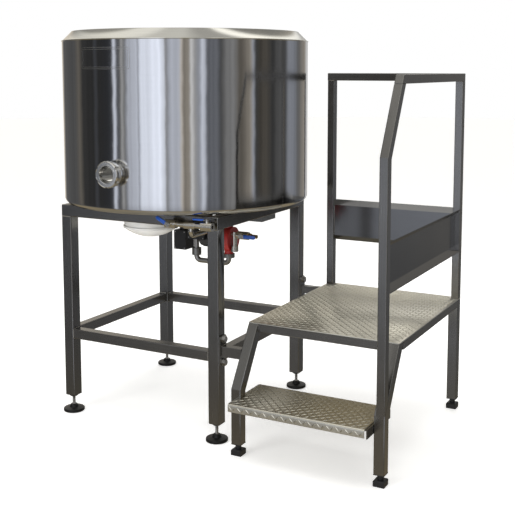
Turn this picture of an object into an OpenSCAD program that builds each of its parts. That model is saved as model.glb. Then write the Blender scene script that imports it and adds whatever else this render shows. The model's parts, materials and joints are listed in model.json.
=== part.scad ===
// Open-top insulated vat on a square stand, with a bolted-on service platform.
// Origin on the floor under the middle of the whole assembly. +X right, +Y to the rear, +Z up.
// The modules are written about the vat's axis and placed() moves them all by one amount.
// Millimetres.

/* [Vat] */
// Outer radius of the insulated shell
vat_r = 635; // [560:5:700]
// Height of the straight shell from the knuckle to the rim seam
side_h = 792; // [500:1:1000]
// Radius of the rounded lower edge
knuckle_r = 25; // [15:1:35]
// Shell thickness
shell_t = 2; // [1.5:0.5:4]
// Distance from the shell's outside to the inner vessel's outside
wall_gap = 52; // [40:1:80]
// Inner vessel wall
inner_t = 3; // [2:0.5:6]
// Height of the inner vessel's floor over the base plate
floor_rise = 145; // [110:1:200]
// Fall of the inner floor from its rim to its middle
floor_fall = 12; // [0:1:30]
// Radius of the bead where the rim cone meets the shell
bead_r = 3; // [1:0.5:5]
// Thickness of the base plate
base_t = 3; // [2:0.5:6]
// Height of the water jacket up the side of the inner vessel
jacket_h = 560; // [300:10:620]
// Gap between the inner vessel and the jacket shell
jacket_gap = 16; // [10:1:25]
// Height of the spacer pads between the stand and the vat
pad_h = 8; // [4:1:20]

/* [Outlet] */
// Bore of the outlet
outlet_bore_r = 40.5; // [25:0.5:50]
// Wall of the outlet pipe
outlet_t = 2; // [1.5:0.5:4]
// Height of the outlet's centre over the vat's base
outlet_up = 191; // [150:1:260]
// How far the nut's face stands out from the shell
outlet_reach = 61; // [50:1:90]
// Radius of the union nut
nut_r = 63.5; // [55:0.5:75]
// Length of the union nut
nut_len = 34; // [24:1:44]

/* [Stand] */
// Side of the square stand
stand_w = 930; // [700:5:1100]
// Height of the stand's top over the floor
stand_h = 1090; // [700:5:1300]
// Side of the stand's square tube
tube = 60; // [50:1:80]
// Wall of the square tubes
tube_t = 3; // [2:0.5:5]
// Height of the lower end of the legs
leg_end = 88; // [75:1:140]
// Underside of the lower rails
rail_z = 395; // [200:5:600]
// Height of the lower rails
rail_h = 50; // [30:1:60]

/* [Stand feet] */
// Radius of the swivel pads
pad_r = 54; // [35:1:70]
// Thickness of the pad's disc
pad_disc = 16; // [10:1:20]
// Radius of the threaded spindle
spindle_r = 8; // [6:0.5:10]
// Radius of the spindle's ball
ball_r = 10; // [9:0.5:12]

/* [Platform] */
// Clear gap between the stand's legs and the platform
link_gap = 115; // [90:1:200]
// Width of the platform along X
deck_w = 750; // [600:5:900]
// Depth of the platform along Y
deck_d = 935; // [700:5:1100]
// Front edge of the platform on Y
deck_y = -380; // [-420:5:-300]
// Height of the walking surface
deck_z = 590; // [450:5:700]
// Thickness of the chequered plates
plate_t = 4; // [3:0.5:6]
// Side of the tube of the legs and stringers
leg_tube = 50; // [45:1:60]
// Side of the tube of the guard rail and the deck frame
rail_tube = 40; // [30:1:45]
// Front face of the two front legs on Y
front_y = -550; // [-650:5:-500]
// Height where the stringers bend back
bend_z = 315; // [285:5:400]
// Lower end of the platform's legs
stair_end = 54; // [50:1:90]
// Height of the guard rail over the floor
guard_z = 1755; // [1500:5:1900]
// Height where the sloping rail starts
slope_z = 1415; // [1200:5:1500]
// Front end of the side rail on Y
slope_y = -370; // [-420:5:-300]

/* [Step] */
// Height of the step's surface
step_z = 278; // [230:1:282]
// Front edge of the step on Y
step_y = -635; // [-680:5:-600]
// Depth of the step
step_d = 300; // [250:5:340]
// Left end of the step past the left leg's inner face
step_over = 18; // [0:1:30]
// Gap at the step's right end
step_gap = 10; // [4:1:20]
// Height of the step's bent edges
step_lip = 37; // [25:1:45]

/* [Panels] */
// Overall height of the bent side and rear panels
panel_h = 224; // [150:1:300]
// Top edge of the panels
panel_top = 1062; // [900:1:1400]
// How far the sheet sits in from the posts' outer faces
panel_in = 28; // [15:1:34]
// Sheet thickness
sheet_t = 2; // [1:0.5:3]

/* [Platform feet] */
// Side of the square foot block
block_w = 52; // [40:1:60]
// Height of the foot block
block_h = 28; // [20:1:32]
// Radius of the foot's stem
stem_r = 14; // [10:1:16]

/* [Heating] */
// Radius of the expansion vessel
tank_r = 140; // [100:5:160]
// Radius of the pipes
pipe_r = 13; // [10:0.5:14]
// Radius of the pump motor's can
motor_r = 46; // [35:1:50]

/* [Hidden] */
$fn = 96;
eps = 1;
seat_gap = 0.2;

// ---- vat levels and radii
base_z = stand_h + pad_h;
side_z = base_z + knuckle_r;
seam_z = side_z + side_h;
rim_z = seam_z + wall_gap;
inner_r = vat_r - wall_gap;
flat_r = vat_r - knuckle_r;
floor_z = base_z + floor_rise;
jacket_r = inner_r + jacket_gap;
jacket_t = 2;
jacket_z = base_z + 36;
outlet_z = base_z + outlet_up;
outlet_face = -(vat_r + outlet_reach);
pipe_or = outlet_bore_r + outlet_t;

// ---- stand
half = stand_w / 2;
leg_c = half - tube / 2;
corners = [[-1, -1], [1, -1], [1, 1], [-1, 1]];

// ---- platform
deck_x0 = half + link_gap;
deck_x1 = deck_x0 + deck_w;
deck_y1 = deck_y + deck_d;
deck_under = deck_z - plate_t;
frame_z = deck_under - rail_tube;
stringer_a = atan2(deck_under - bend_z, deck_y - front_y);
slope_a = atan2(guard_z - slope_z, slope_y - front_y);
stair_legs = [[deck_x0 + leg_tube / 2, front_y + leg_tube / 2],
              [deck_x1 - leg_tube / 2, front_y + leg_tube / 2],
              [deck_x1 - leg_tube / 2, deck_y1 - leg_tube / 2]];
link_h = 50;
link_t = 8;
link_z0 = frame_z - link_h - 71;
near_plate_z = link_z0 - 44;
near_plate_top = link_z0 + link_h + 46;
rear_plate_top = deck_z + 44;
near_bolts = [link_z0 - 31, near_plate_top - 15];
rear_bolts = [link_z0 - 27, link_z0 + link_h + 37, rear_plate_top - 16];
bolt_r = 10;
bolt_clear = 0.5;

// ---- heating gear under the base
gear_y = -150;
volute_x = half - 125;
flow_x = volute_x - 190;
pump_z = base_z - 168;
pump_len = 100;
volute_r = 62;
volute_w = 56;
shaft_r = 6;
shaft_fit = 0.05;
fill_y = -half - 40;
fill_z = base_z - 48;
fill_low = stand_h - tube - 30;
valve_bore = 9;
valve_ball = 15;
valve_r = 20;
stem_fit = 0.1;
blow_x = volute_x + 98;
blow_y = gear_y - 25;
blow_z = pump_z + 28;
nozzle_r = 9.5;
box_w = [100, 150, 34];
box_pos = [half - tube - 85, 55, stand_h - tube - 6];

steel = [0.62, 0.62, 0.6];
bright = [0.75, 0.75, 0.74];
dark = [0.25, 0.25, 0.24];
black = [0.05, 0.05, 0.05];

// ---- middle of the whole assembly, seen from above
bead_out = vat_r + bead_r - 0.5;
mid_x = (deck_x1 - bead_out) / 2;
mid_y = (bead_out + outlet_face) / 2;

// ---- shared shapes

module placed() {
    translate([-mid_x, -mid_y, 0])
        children();
}

module box(lo, hi) {
    translate(lo)
        cube([hi[0] - lo[0], hi[1] - lo[1], hi[2] - lo[2]]);
}

// Square tube from z0 to z1 whose middle is at p.
module post(p, w, t, z0, z1) {
    difference() {
        box([p[0] - w / 2, p[1] - w / 2, z0], [p[0] + w / 2, p[1] + w / 2, z1]);
        box([p[0] - w / 2 + t, p[1] - w / 2 + t, z0 - eps], [p[0] + w / 2 - t, p[1] + w / 2 - t, z1 + eps]);
    }
}

// Rectangular tube along X or Y between two corners, open at its ends.
module tube_x(lo, hi, t) {
    difference() {
        box(lo, hi);
        box([lo[0] - eps, lo[1] + t, lo[2] + t], [hi[0] + eps, hi[1] - t, hi[2] - t]);
    }
}

module tube_y(lo, hi, t) {
    difference() {
        box(lo, hi);
        box([lo[0] + t, lo[1] - eps, lo[2] + t], [hi[0] - t, hi[1] + eps, hi[2] - t]);
    }
}

// Cylinder along +Y from p.
module rod_y(p, r, h) {
    translate(p)
        rotate([-90, 0, 0])
            cylinder(r = r, h = h);
}

// Cylinder along +X from p.
module rod_x(p, r, h) {
    translate(p)
        rotate([0, 90, 0])
            cylinder(r = r, h = h);
}

// Upright cylinder from p.
module rod_z(p, r, h) {
    translate(p)
        cylinder(r = r, h = h);
}

// Extrudes a Y-Z outline along X from x0 to x1.
module slab_x(x0, x1) {
    translate([x0, 0, 0])
        rotate([90, 0, 90])
            linear_extrude(height = x1 - x0)
                children();
}

// A straight rod between two points.
module rod(a, b, r) {
    d = b - a;
    len = norm(d);
    translate(a)
        rotate([0, acos(d[2] / len), atan2(d[1], d[0])])
            cylinder(r = r, h = len);
}

function unit(v) = v / norm(v);

// How far a bend of radius `bend` reaches from corner i along the straights beside it.
function reach_at(pts, i, bend) = i == 0 || i == len(pts) - 1 ? 0 :
    bend * tan(acos(unit(pts[i] - pts[i - 1]) * unit(pts[i + 1] - pts[i])) / 2);

// Solid pipe through a list of points, bent at every inner point.
module pipe_run(pts, r, bend) {
    for (i = [0:len(pts) - 2]) {
        d = unit(pts[i + 1] - pts[i]);
        rod(pts[i] + d * reach_at(pts, i, bend), pts[i + 1] - d * reach_at(pts, i + 1, bend), r);
    }
    for (i = [1:len(pts) - 2]) {
        d0 = unit(pts[i] - pts[i - 1]);
        d1 = unit(pts[i + 1] - pts[i]);
        n = unit(cross(d0, d1));
        side = cross(n, d0);
        c = pts[i] - d0 * reach_at(pts, i, bend) + side * bend;
        multmatrix([[-side[0], d0[0], n[0], c[0]],
                    [-side[1], d0[1], n[1], c[1]],
                    [-side[2], d0[2], n[2], c[2]]])
            rotate_extrude(angle = acos(d0 * d1))
                translate([bend, 0])
                    circle(r = r, $fn = 48);
    }
}

module pipe(pts, r, bend, t) {
    difference() {
        pipe_run(pts, r, bend);
        pipe_run(pts, r - t, bend);
    }
}

// Edge of a bent tube at depth d: straight up at y0, then back at angle a from height zb to zt.
function bent_edge(y0, zb, a, d, z0, zt) = [
    [y0 + d, z0],
    [y0 + d, zb + d * (sin(a) - 1) / cos(a)],
    [y0 + (d + (zt - zb) * cos(a)) / sin(a), zt]];

function reversed(v) = [for (i = [len(v) - 1:-1:0]) v[i]];

module bent_outline(y0, zb, a, w, inset, z0, zt) {
    polygon(concat(bent_edge(y0, zb, a, inset, z0, zt),
                   reversed(bent_edge(y0, zb, a, w - inset, z0, zt))));
}

// ---- vat

function arc(c, r, a0, a1, n) = [for (i = [0:n]) [c[0] + r * cos(a0 + (a1 - a0) * i / n),
                                                 c[1] + r * sin(a0 + (a1 - a0) * i / n)]];

module outlet_hole(r) {
    rod_y([0, outlet_face - eps, outlet_z], r, -outlet_face - inner_r / 2);
}

module outer_shell() {
    color(bright) placed()
        difference() {
            rotate_extrude($fn = 192)
                polygon(concat(arc([flat_r, side_z], knuckle_r, -90, 0, 10),
                               [[vat_r, seam_z], [vat_r - shell_t, seam_z]],
                               arc([flat_r, side_z], knuckle_r - shell_t, 0, -90, 10)));
            outlet_hole(pipe_or);
        }
}

module rim_cone() {
    lip = 14;
    color(bright) placed()
        rotate_extrude($fn = 192)
            union() {
                polygon([[vat_r, seam_z], [vat_r, seam_z + shell_t], [inner_r + shell_t, rim_z],
                         [inner_r + seat_gap, rim_z], [inner_r + seat_gap, rim_z - lip],
                         [inner_r + shell_t, rim_z - lip],
                         [inner_r + shell_t, rim_z - shell_t * 1.5], [vat_r - shell_t * 1.5, seam_z]]);
                translate([vat_r - 0.5, seam_z + bead_r])
                    circle(r = bead_r, $fn = 32);
            }
}

module inner_vessel() {
    fall = floor_fall;
    top = rim_z - 1;
    round_r = 40;
    color(bright) placed()
        difference() {
            rotate_extrude($fn = 192)
                polygon(concat([[0, floor_z - fall]],
                               arc([inner_r - round_r, floor_z + round_r], round_r, -90, 0, 8),
                               [[inner_r, top], [inner_r - inner_t, top]],
                               arc([inner_r - round_r, floor_z + round_r], round_r - inner_t, 0, -90, 8),
                               [[0, floor_z - fall + inner_t]]));
            outlet_hole(pipe_or);
        }
}

module jacket_shell() {
    top = jacket_z + jacket_h;
    color(steel) placed()
        difference() {
            rotate_extrude($fn = 192)
                polygon([[0, jacket_z], [jacket_r, jacket_z], [jacket_r, top], [inner_r + 0.2, top],
                         [inner_r + 0.2, top - jacket_t], [jacket_r - jacket_t, top - jacket_t],
                         [jacket_r - jacket_t, jacket_z + jacket_t], [0, jacket_z + jacket_t]]);
            outlet_hole(pipe_or);
            gear_holes(jacket_z - eps, jacket_t + 2 * eps);
        }
}

// Where pipes, the heater and the probe pass up into the water jacket.
heater_xy = [41, -100];
heater_r = 30;
probe_xy = [-20, 120];
probe_r = 5;
return_xy = [volute_x, 60];
flow_xy = [flow_x, gear_y];
fill_xy = [volute_x + 2, -330];
fill_r = 11;
hole_fit = 0.1;

module gear_holes(z, h) {
    rod_z([heater_xy[0], heater_xy[1], z], heater_r + hole_fit, h);
    rod_z([probe_xy[0], probe_xy[1], z], probe_r + hole_fit, h);
    rod_z([return_xy[0], return_xy[1], z], pipe_r + hole_fit, h);
    rod_z([flow_xy[0], flow_xy[1], z], pipe_r + hole_fit, h);
    rod_z([fill_xy[0], fill_xy[1], z], fill_r + hole_fit, h);
}

module insulation() {
    lo = base_z + base_t;
    color([0.85, 0.8, 0.5]) placed()
        difference() {
            rotate_extrude($fn = 96)
                difference() {
                    polygon([[0, lo], [flat_r - shell_t, lo], [vat_r - shell_t - 1, side_z],
                             [vat_r - shell_t - 1, seam_z - 2], [inner_r + 1, seam_z - 2],
                             [inner_r + 1, jacket_z + jacket_h + 1], [jacket_r + 1, jacket_z + jacket_h + 1],
                             [jacket_r + 1, jacket_z - 0.5], [0, jacket_z - 0.5]]);
                }
            outlet_hole(pipe_or + 1);
            gear_holes(lo - eps, jacket_z - lo + 2 * eps);
        }
}

module base_plate() {
    color(steel) placed()
        difference() {
            rod_z([0, 0, base_z], flat_r - 0.2, base_t);
            gear_holes(base_z - eps, base_t + 2 * eps);
        }
}

module support_pads() {
    spread = stand_w / 4;
    color(dark) placed()
        for (a = [0:90:270], s = [-1, 1])
            rotate([0, 0, a])
                translate([s * spread - 30, -leg_c - 20, stand_h])
                    cube([60, 40, pad_h]);
}

// ---- outlet

ferrule_r = pipe_or + 7.5;
liner_r = pipe_or + 3.5;
nut_fit = 0.1;
ferrule_y = outlet_face + nut_len - 4;

module outlet_pipe() {
    color(bright) placed()
        difference() {
            union() {
                rod_y([0, ferrule_y - 12, outlet_z], pipe_or, -ferrule_y + 12 - inner_r + 6);
                rod_y([0, ferrule_y - 12, outlet_z], ferrule_r, -vat_r - ferrule_y + 12 - 1);
            }
            rod_y([0, outlet_face - eps, outlet_z], outlet_bore_r, -outlet_face);
        }
}

module outlet_gasket() {
    color(black) placed()
        difference() {
            rod_y([0, ferrule_y - 15.2, outlet_z], liner_r, 3);
            rod_y([0, ferrule_y - 17, outlet_z], outlet_bore_r + 0.5, 8);
        }
}

module outlet_liner() {
    color(bright) placed()
        difference() {
            union() {
                rod_y([0, ferrule_y - 21.4, outlet_z], liner_r, 6);
                rod_y([0, outlet_face + 1, outlet_z], pipe_or, ferrule_y - 21.4 - outlet_face);
            }
            rod_y([0, outlet_face - eps, outlet_z], outlet_bore_r, nut_len + 2);
        }
}

module outlet_nut() {
    slots = 6;
    slot_w = 14;
    slot_d = (nut_r - ferrule_r) * 14 / 27;
    color(bright) placed()
        difference() {
            union() {
                rod_y([0, outlet_face + 4, outlet_z], nut_r, nut_len - 4);
                translate([0, outlet_face + 4, outlet_z])
                    rotate([90, 0, 0])
                        cylinder(r1 = nut_r, r2 = nut_r - 4, h = 4);
            }
            rod_y([0, outlet_face - eps, outlet_z], pipe_or + nut_fit, nut_len + 2);
            rod_y([0, ferrule_y - 21.8, outlet_z], ferrule_r + nut_fit, nut_len);
            for (i = [0:slots - 1])
                translate([0, 0, outlet_z])
                    rotate([0, i * 360 / slots, 0])
                        box([-slot_w / 2, outlet_face - eps, nut_r - slot_d],
                            [slot_w / 2, outlet_face + nut_len + eps, nut_r + 5]);
        }
}

// ---- heating gear

module heating_element() {
    rod_r = 5;
    reach = 380;
    up = jacket_z + 45;
    color(dark) placed()
        union() {
            rod_z([heater_xy[0], heater_xy[1], base_z - 12], heater_r + 8, 12);
            rod_z([heater_xy[0], heater_xy[1], base_z - eps], heater_r, base_t + 38);
            for (s = [-1, 1]) {
                rod_z([heater_xy[0] + s * 14, heater_xy[1], base_z + 30], rod_r, up - base_z - 30);
                rod_y([heater_xy[0] + s * 14, heater_xy[1], up], rod_r, reach);
                translate([heater_xy[0] + s * 14, heater_xy[1], up])
                    sphere(r = rod_r, $fn = 32);
            }
            rod_x([heater_xy[0] - 14, heater_xy[1] + reach - rod_r, up], rod_r, 28);
        }
}

heater_box_h = 100;
heater_box_z = base_z - heater_box_h - 151;

module heater_box() {
    top = heater_box_z + heater_box_h;
    color(dark) placed()
        union() {
            box([heater_xy[0] - 36, heater_xy[1] - 40, heater_box_z],
                [heater_xy[0] + 36, heater_xy[1] + 40, top]);
            rod_z([heater_xy[0], heater_xy[1], top], 22, base_z - 12 - top);
        }
}

module temp_probe() {
    color(bright) placed()
        union() {
            rod_z([probe_xy[0], probe_xy[1], base_z - 40], probe_r, 120);
            rod_z([probe_xy[0], probe_xy[1], base_z - 40], 11, 40);
        }
}

tank_xy = [-130, -150];
tank_z = base_z - 193;
tank_top = base_z;

module expansion_vessel() {
    dome = 50;
    mid = tank_z + dome;
    body_h = 100;
    ball = (tank_r * tank_r + dome * dome) / (2 * dome);
    color("white") placed()
        union() {
            translate([tank_xy[0], tank_xy[1], 0])
                rotate_extrude($fn = 96)
                    polygon(concat(arc([0, tank_z + ball], ball, -90, -90 + asin(tank_r / ball), 10),
                                   [[tank_r + 5, mid + 2], [tank_r + 5, mid + 12], [tank_r, mid + 14],
                                    [tank_r, mid + body_h - 30], [tank_r - 30, mid + body_h],
                                    [0, mid + body_h]]));
            rod_z([tank_xy[0], tank_xy[1], mid + body_h - eps], 14, tank_top - mid - body_h + eps);
        }
}

port_r = 22;
port_half = 75;

// The pump's shaft lies along X, with the motor to the left of the volute.
module pump_volute() {
    color("firebrick") placed()
        difference() {
            union() {
                rod_x([volute_x - volute_w / 2, gear_y, pump_z], volute_r, volute_w);
                rod_z([volute_x, gear_y, pump_z - port_half], port_r, 2 * port_half);
            }
            rod_x([volute_x - volute_w / 2 - eps, gear_y, pump_z], 45, volute_w - 20 + eps);
            rod_z([volute_x, gear_y, pump_z - port_half - eps], pipe_r - 2, 35);
            rod_z([volute_x, gear_y, pump_z + 42], pipe_r - 2, 60);
        }
}

module pump_motor() {
    x1 = volute_x - volute_w / 2;
    x0 = x1 - pump_len - 20;
    color(black) placed()
        difference() {
            union() {
                rod_x([x0, gear_y, pump_z], motor_r, x1 - x0 - 10);
                rod_x([x1 - 10, gear_y, pump_z], volute_r - 4, 10);
            }
            rod_x([x0 + 8, gear_y, pump_z], 26, x1 - x0 - 20);
            rod_x([x0 + 4, gear_y, pump_z], shaft_r + shaft_fit, x1 - x0);
        }
}

module pump_terminal_box() {
    x0 = volute_x - 194;
    color(black) placed()
        box([x0, gear_y - motor_r - 34, pump_z - 2], [x0 + 98, gear_y - motor_r - 0.2, pump_z + 40]);
}

module pump_rotor() {
    x1 = volute_x - volute_w / 2;
    x0 = x1 - pump_len - 20;
    color(steel) placed()
        union() {
            rod_x([x0 + 6, gear_y, pump_z], shaft_r, x1 - x0 + 14);
            rod_x([x0 + 14, gear_y, pump_z], 24, x1 - x0 - 34);
            rod_x([x1 + 4, gear_y, pump_z], 40, 5);
            for (i = [0:5])
                translate([x1 + 9, gear_y, pump_z])
                    rotate([i * 60, 0, 0])
                        translate([-0.5, 12, -2])
                            cube([9, 24, 4]);
        }
}

nut_h = 20;
low_z = base_z - 293;
pipe_bend = 24;

module union_nut(x, z, r, h) {
    difference() {
        rod_z([x, gear_y, z], r, h);
        rod_z([x, gear_y, z - eps], pipe_r + hole_fit, h + 2 * eps);
    }
}

module union_nuts() {
    color(dark) placed() {
        union_nut(volute_x, pump_z - port_half - nut_h, 30, nut_h);
        union_nut(volute_x, pump_z + port_half, 30, nut_h);
        union_nut(flow_x, low_z + 27, 24, 36);
    }
}

module flow_pipe() {
    color(steel) placed()
        pipe([[flow_x, gear_y, jacket_z], [flow_x, gear_y, low_z],
              [volute_x, gear_y, low_z], [volute_x, gear_y, pump_z - port_half]], pipe_r, pipe_bend, 2);
}

module return_pipe() {
    color(steel) placed()
        pipe([[volute_x, gear_y, pump_z + port_half], [volute_x, gear_y, base_z - 40],
              [return_xy[0], return_xy[1], base_z - 40], [return_xy[0], return_xy[1], jacket_z]],
             pipe_r, pipe_bend, 2);
}

// ---- valves

tee_x = fill_xy[0];
fill_valve_x = tee_x - 110;
drain_valve_x = tee_x + 88;
valve_half = 30;
stem_r_v = 4;
lever_up = valve_r + 9;
lever_w = 14;
lever_t = 4;
fill_p = [fill_valve_x, fill_y, fill_z];
drain_p = [drain_valve_x, fill_y, fill_z];
blow_p = [blow_x, blow_y, blow_z];

// A ball valve's body along X at p, with its stem hole turned by stem_rot.
module valve_body(p, stem_rot) {
    difference() {
        union() {
            rod_x([p[0] - valve_half, p[1], p[2]], valve_r, 2 * valve_half);
            translate(p)
                rotate(stem_rot)
                    cylinder(r = 10, h = valve_r + 8);
        }
        rod_x([p[0] - valve_half - eps, p[1], p[2]], valve_bore, 2 * valve_half + 2 * eps);
        rod_x([p[0] - valve_ball, p[1], p[2]], valve_ball + stem_fit, 2 * valve_ball);
        translate(p)
            rotate(stem_rot)
                cylinder(r = stem_r_v + stem_fit, h = 60);
    }
}

// The moving parts of one valve: bored ball with its stem, lever and nut.
module valve_trim(p, stem_rot, lever_turn, length) {
    translate(p)
        rotate(stem_rot)
            union() {
                difference() {
                    union() {
                        sphere(r = valve_ball - 0.3, $fn = 64);
                        cylinder(r = stem_r_v, h = lever_up + lever_t + 5);
                    }
                    rod_x([-30, 0, 0], valve_bore, 60);
                }
                translate([0, 0, lever_up])
                    cylinder(r = 11, h = lever_t);
                translate([0, 0, lever_up + lever_t - eps])
                    cylinder(r = 8, h = 5, $fn = 6);
                rotate([0, 0, lever_turn])
                    box([0, -lever_w / 2, lever_up], [length, lever_w / 2, lever_up + lever_t]);
            }
}

module valve_bodies() {
    color(bright) placed() {
        valve_body(fill_p, [90, 0, 0]);
        valve_body(drain_p, [0, 0, 0]);
        valve_body(blow_p, [90, 0, 0]);
    }
}

module lever_fill() {
    color([0.1, 0.2, 0.55]) placed()
        valve_trim(fill_p, [90, 0, 0], 153, 70);
}

module lever_drain() {
    color([0.15, 0.3, 0.7]) placed()
        valve_trim(drain_p, [0, 0, 0], 180, 76);
}

module lever_blowdown() {
    color([0.15, 0.3, 0.7]) placed()
        valve_trim(blow_p, [90, 0, 0], 0, 80);
}

module fill_manifold() {
    pts = [[tee_x, fill_y, fill_z], [tee_x, fill_y, fill_low], [tee_x, fill_xy[1], fill_low],
           [fill_xy[0], fill_xy[1], jacket_z]];
    x0 = fill_valve_x + valve_half;
    x1 = drain_valve_x - valve_half;
    color(bright) placed()
        difference() {
            union() {
                pipe_run(pts, fill_r, pipe_bend);
                rod_x([x0, fill_y, fill_z], 12, x1 - x0);
                rod_x([tee_x - 34, fill_y, fill_z], 17, 60);
            }
            pipe_run(pts, fill_r - 3, pipe_bend);
            rod_x([x0 - eps, fill_y, fill_z], 9, x1 - x0 + 2 * eps);
        }
}

module hose_nozzle() {
    x = blow_x + valve_half;
    color("goldenrod") placed()
        difference() {
            union() {
                rod_x([x, blow_y, blow_z], 14, 14);
                rod_x([x + 14 - eps, blow_y, blow_z], nozzle_r, 34);
            }
            rod_x([x - eps, blow_y, blow_z], 7, 60);
        }
}

// Tee between the volute, a capped leg below it and the blow-down valve.
module drain_tee() {
    x0 = volute_x + volute_w / 2;
    x1 = blow_x - valve_half;
    mid = (x0 + x1) / 2;
    low = blow_z - 70;
    color(bright) placed()
        union() {
            rod_x([x0, blow_y, blow_z], 11, x1 - x0);
            rod_z([mid, blow_y, low + 10], 12.5, blow_z - low + 5);
            rod_z([mid, blow_y, low - 14], 19, 28);
        }
}

module wiring_box() {
    lo = box_pos;
    hi = [lo[0] + box_w[0], lo[1] + box_w[1], base_z];
    color(dark) placed()
        union() {
            box([lo[0], lo[1], lo[2] - box_w[2]], [hi[0], hi[1], lo[2]]);
            box([lo[0] + 30, lo[1] + 40, lo[2] - eps], [lo[0] + 70, lo[1] + 100, base_z]);
            rod_y([lo[0] + 60, hi[1], lo[2] - 17], 14, 26);
        }
}

// ---- stand

rivet_r = 14;
rivet_len = 16;

// Holes through the link's plates and the outer wall of the two right legs.
module link_holes() {
    x0 = half - tube_t - eps;
    for (z = near_bolts)
        rod_x([x0, -leg_c, z], bolt_r + bolt_clear, link_t + tube_t + 2 * eps);
    for (z = rear_bolts)
        rod_x([x0, leg_c, z], bolt_r + bolt_clear, link_t + tube_t + 2 * eps);
}

module stand_legs() {
    color(steel) placed()
        difference() {
            for (c = corners)
                post([c[0] * leg_c, c[1] * leg_c], tube, tube_t, leg_end, stand_h - tube);
            link_holes();
        }
}

// One mitred beam of the top frame, the front one, turned to each side.
module top_beams() {
    color(steel) placed()
        for (a = [0:90:270])
            rotate([0, 0, a])
                intersection() {
                    tube_x([-half, -half, stand_h - tube], [half, -half + tube, stand_h], tube_t);
                    translate([0, 0, stand_h - tube - eps])
                        linear_extrude(height = tube + 2 * eps)
                            polygon([[0, 0], [-half - eps, -half - eps], [half + eps, -half - eps]]);
                }
}

module lower_rails() {
    span = half - tube;
    color(steel) placed()
        for (a = [0:90:270])
            rotate([0, 0, a])
                tube_x([-span, -half, rail_z], [span, -half + rail_h, rail_z + rail_h], tube_t);
}

cap_drop = 10;
cap_up = 60;
thread_fit = 0.1;

module leg_caps() {
    color(black) placed()
        for (c = corners)
            translate([c[0] * leg_c, c[1] * leg_c, 0])
                difference() {
                    union() {
                        box([-tube / 2 + tube_t + 0.2, -tube / 2 + tube_t + 0.2, leg_end],
                            [tube / 2 - tube_t - 0.2, tube / 2 - tube_t - 0.2, leg_end + cap_up]);
                        translate([0, 0, leg_end - cap_drop])
                            cylinder(r1 = 18, r2 = tube / 2 - 1, h = cap_drop);
                    }
                    rod_z([0, 0, leg_end - cap_drop - eps], spindle_r + thread_fit, cap_up + 3 * cap_drop);
                }
}

pad_top = 34;
ball_z = 20;
pad_fit = 0.3;

module foot_pad(i) {
    c = corners[i];
    edge = 5;
    color(black) placed()
        translate([c[0] * leg_c, c[1] * leg_c, 0])
            difference() {
                rotate_extrude()
                    polygon(concat([[0, 0], [pad_r - edge, 0]], arc([pad_r - edge, edge], edge, -90, 0, 5),
                                   arc([pad_r - edge, pad_disc - edge], edge, 0, 90, 5),
                                   [[24, pad_disc + 4], [17, pad_top], [0, pad_top]]));
                translate([0, 0, ball_z])
                    sphere(r = ball_r + pad_fit, $fn = 64);
                rod_z([0, 0, ball_z], spindle_r + pad_fit + 0.2, pad_top);
            }
}

module foot_spindle(i) {
    c = corners[i];
    color(steel) placed()
        translate([c[0] * leg_c, c[1] * leg_c, 0])
            union() {
                translate([0, 0, ball_z])
                    sphere(r = ball_r, $fn = 64);
                rod_z([0, 0, ball_z], spindle_r, leg_end + cap_up - ball_z + 10);
            }
}

module foot_pad_1() { foot_pad(0); }
module foot_pad_2() { foot_pad(1); }
module foot_pad_3() { foot_pad(2); }
module foot_pad_4() { foot_pad(3); }
module foot_spindle_1() { foot_spindle(0); }
module foot_spindle_2() { foot_spindle(1); }
module foot_spindle_3() { foot_spindle(2); }
module foot_spindle_4() { foot_spindle(3); }

// ---- platform

module deck_plate() {
    color(bright) placed()
        box([deck_x0, deck_y, deck_under], [deck_x1, deck_y1, deck_z]);
}

module step_tread() {
    x0 = deck_x0 + leg_tube - step_over;
    x1 = deck_x1 - leg_tube - step_gap;
    bend = 10;
    y1 = step_y + step_d;
    low = step_z - step_lip;
    color(bright) placed()
        difference() {
            slab_x(x0, x1)
                polygon(concat([[step_y, low]], arc([step_y + bend, step_z - bend], bend, 180, 90, 6),
                               [[y1, step_z], [y1, step_z - step_lip / 2],
                                [y1 - plate_t, step_z - step_lip / 2],
                                [y1 - plate_t, step_z - plate_t]],
                               arc([step_y + bend, step_z - bend], bend - plate_t, 90, 180, 6),
                               [[step_y + plate_t, low]]));
            box([x0 - eps, front_y - 1, low],
                [deck_x0 + leg_tube + 1, front_y + leg_tube + 1, step_z + eps]);
        }
}

module step_brackets() {
    t = 5;
    w = 40;
    top = step_z - plate_t;
    y0 = step_y + 12;
    y1 = step_y + step_d - 10;
    color(steel) placed()
        for (s = [0, 1]) {
            wall = s == 0 ? deck_x0 + leg_tube : deck_x1 - leg_tube;
            d = s == 0 ? 1 : -1;
            difference() {
                box([min(wall, wall + d * w), y0, top - w], [max(wall, wall + d * w), y1, top]);
                box([min(wall + d * t, wall + d * (w + eps)), y0 - eps, top - w - eps],
                    [max(wall + d * t, wall + d * (w + eps)), y1 + eps, top - t]);
            }
        }
}

module stringer(x0) {
    color(steel) placed()
        difference() {
            slab_x(x0, x0 + leg_tube)
                bent_outline(front_y, bend_z, stringer_a, leg_tube, 0, stair_end, deck_under);
            slab_x(x0 + tube_t, x0 + leg_tube - tube_t)
                bent_outline(front_y, bend_z, stringer_a, leg_tube, tube_t,
                             stair_end - eps, deck_under + eps);
        }
}

module stringer_left() { stringer(deck_x0); }
module stringer_right() { stringer(deck_x1 - leg_tube); }

module rear_leg() {
    color(steel) placed()
        post(stair_legs[2], leg_tube, tube_t, stair_end, deck_under);
}

// Where the stringers' back edges meet the underside of the deck frame.
stringer_back = front_y + (leg_tube + (deck_under - bend_z) * cos(stringer_a)) / sin(stringer_a);

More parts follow.
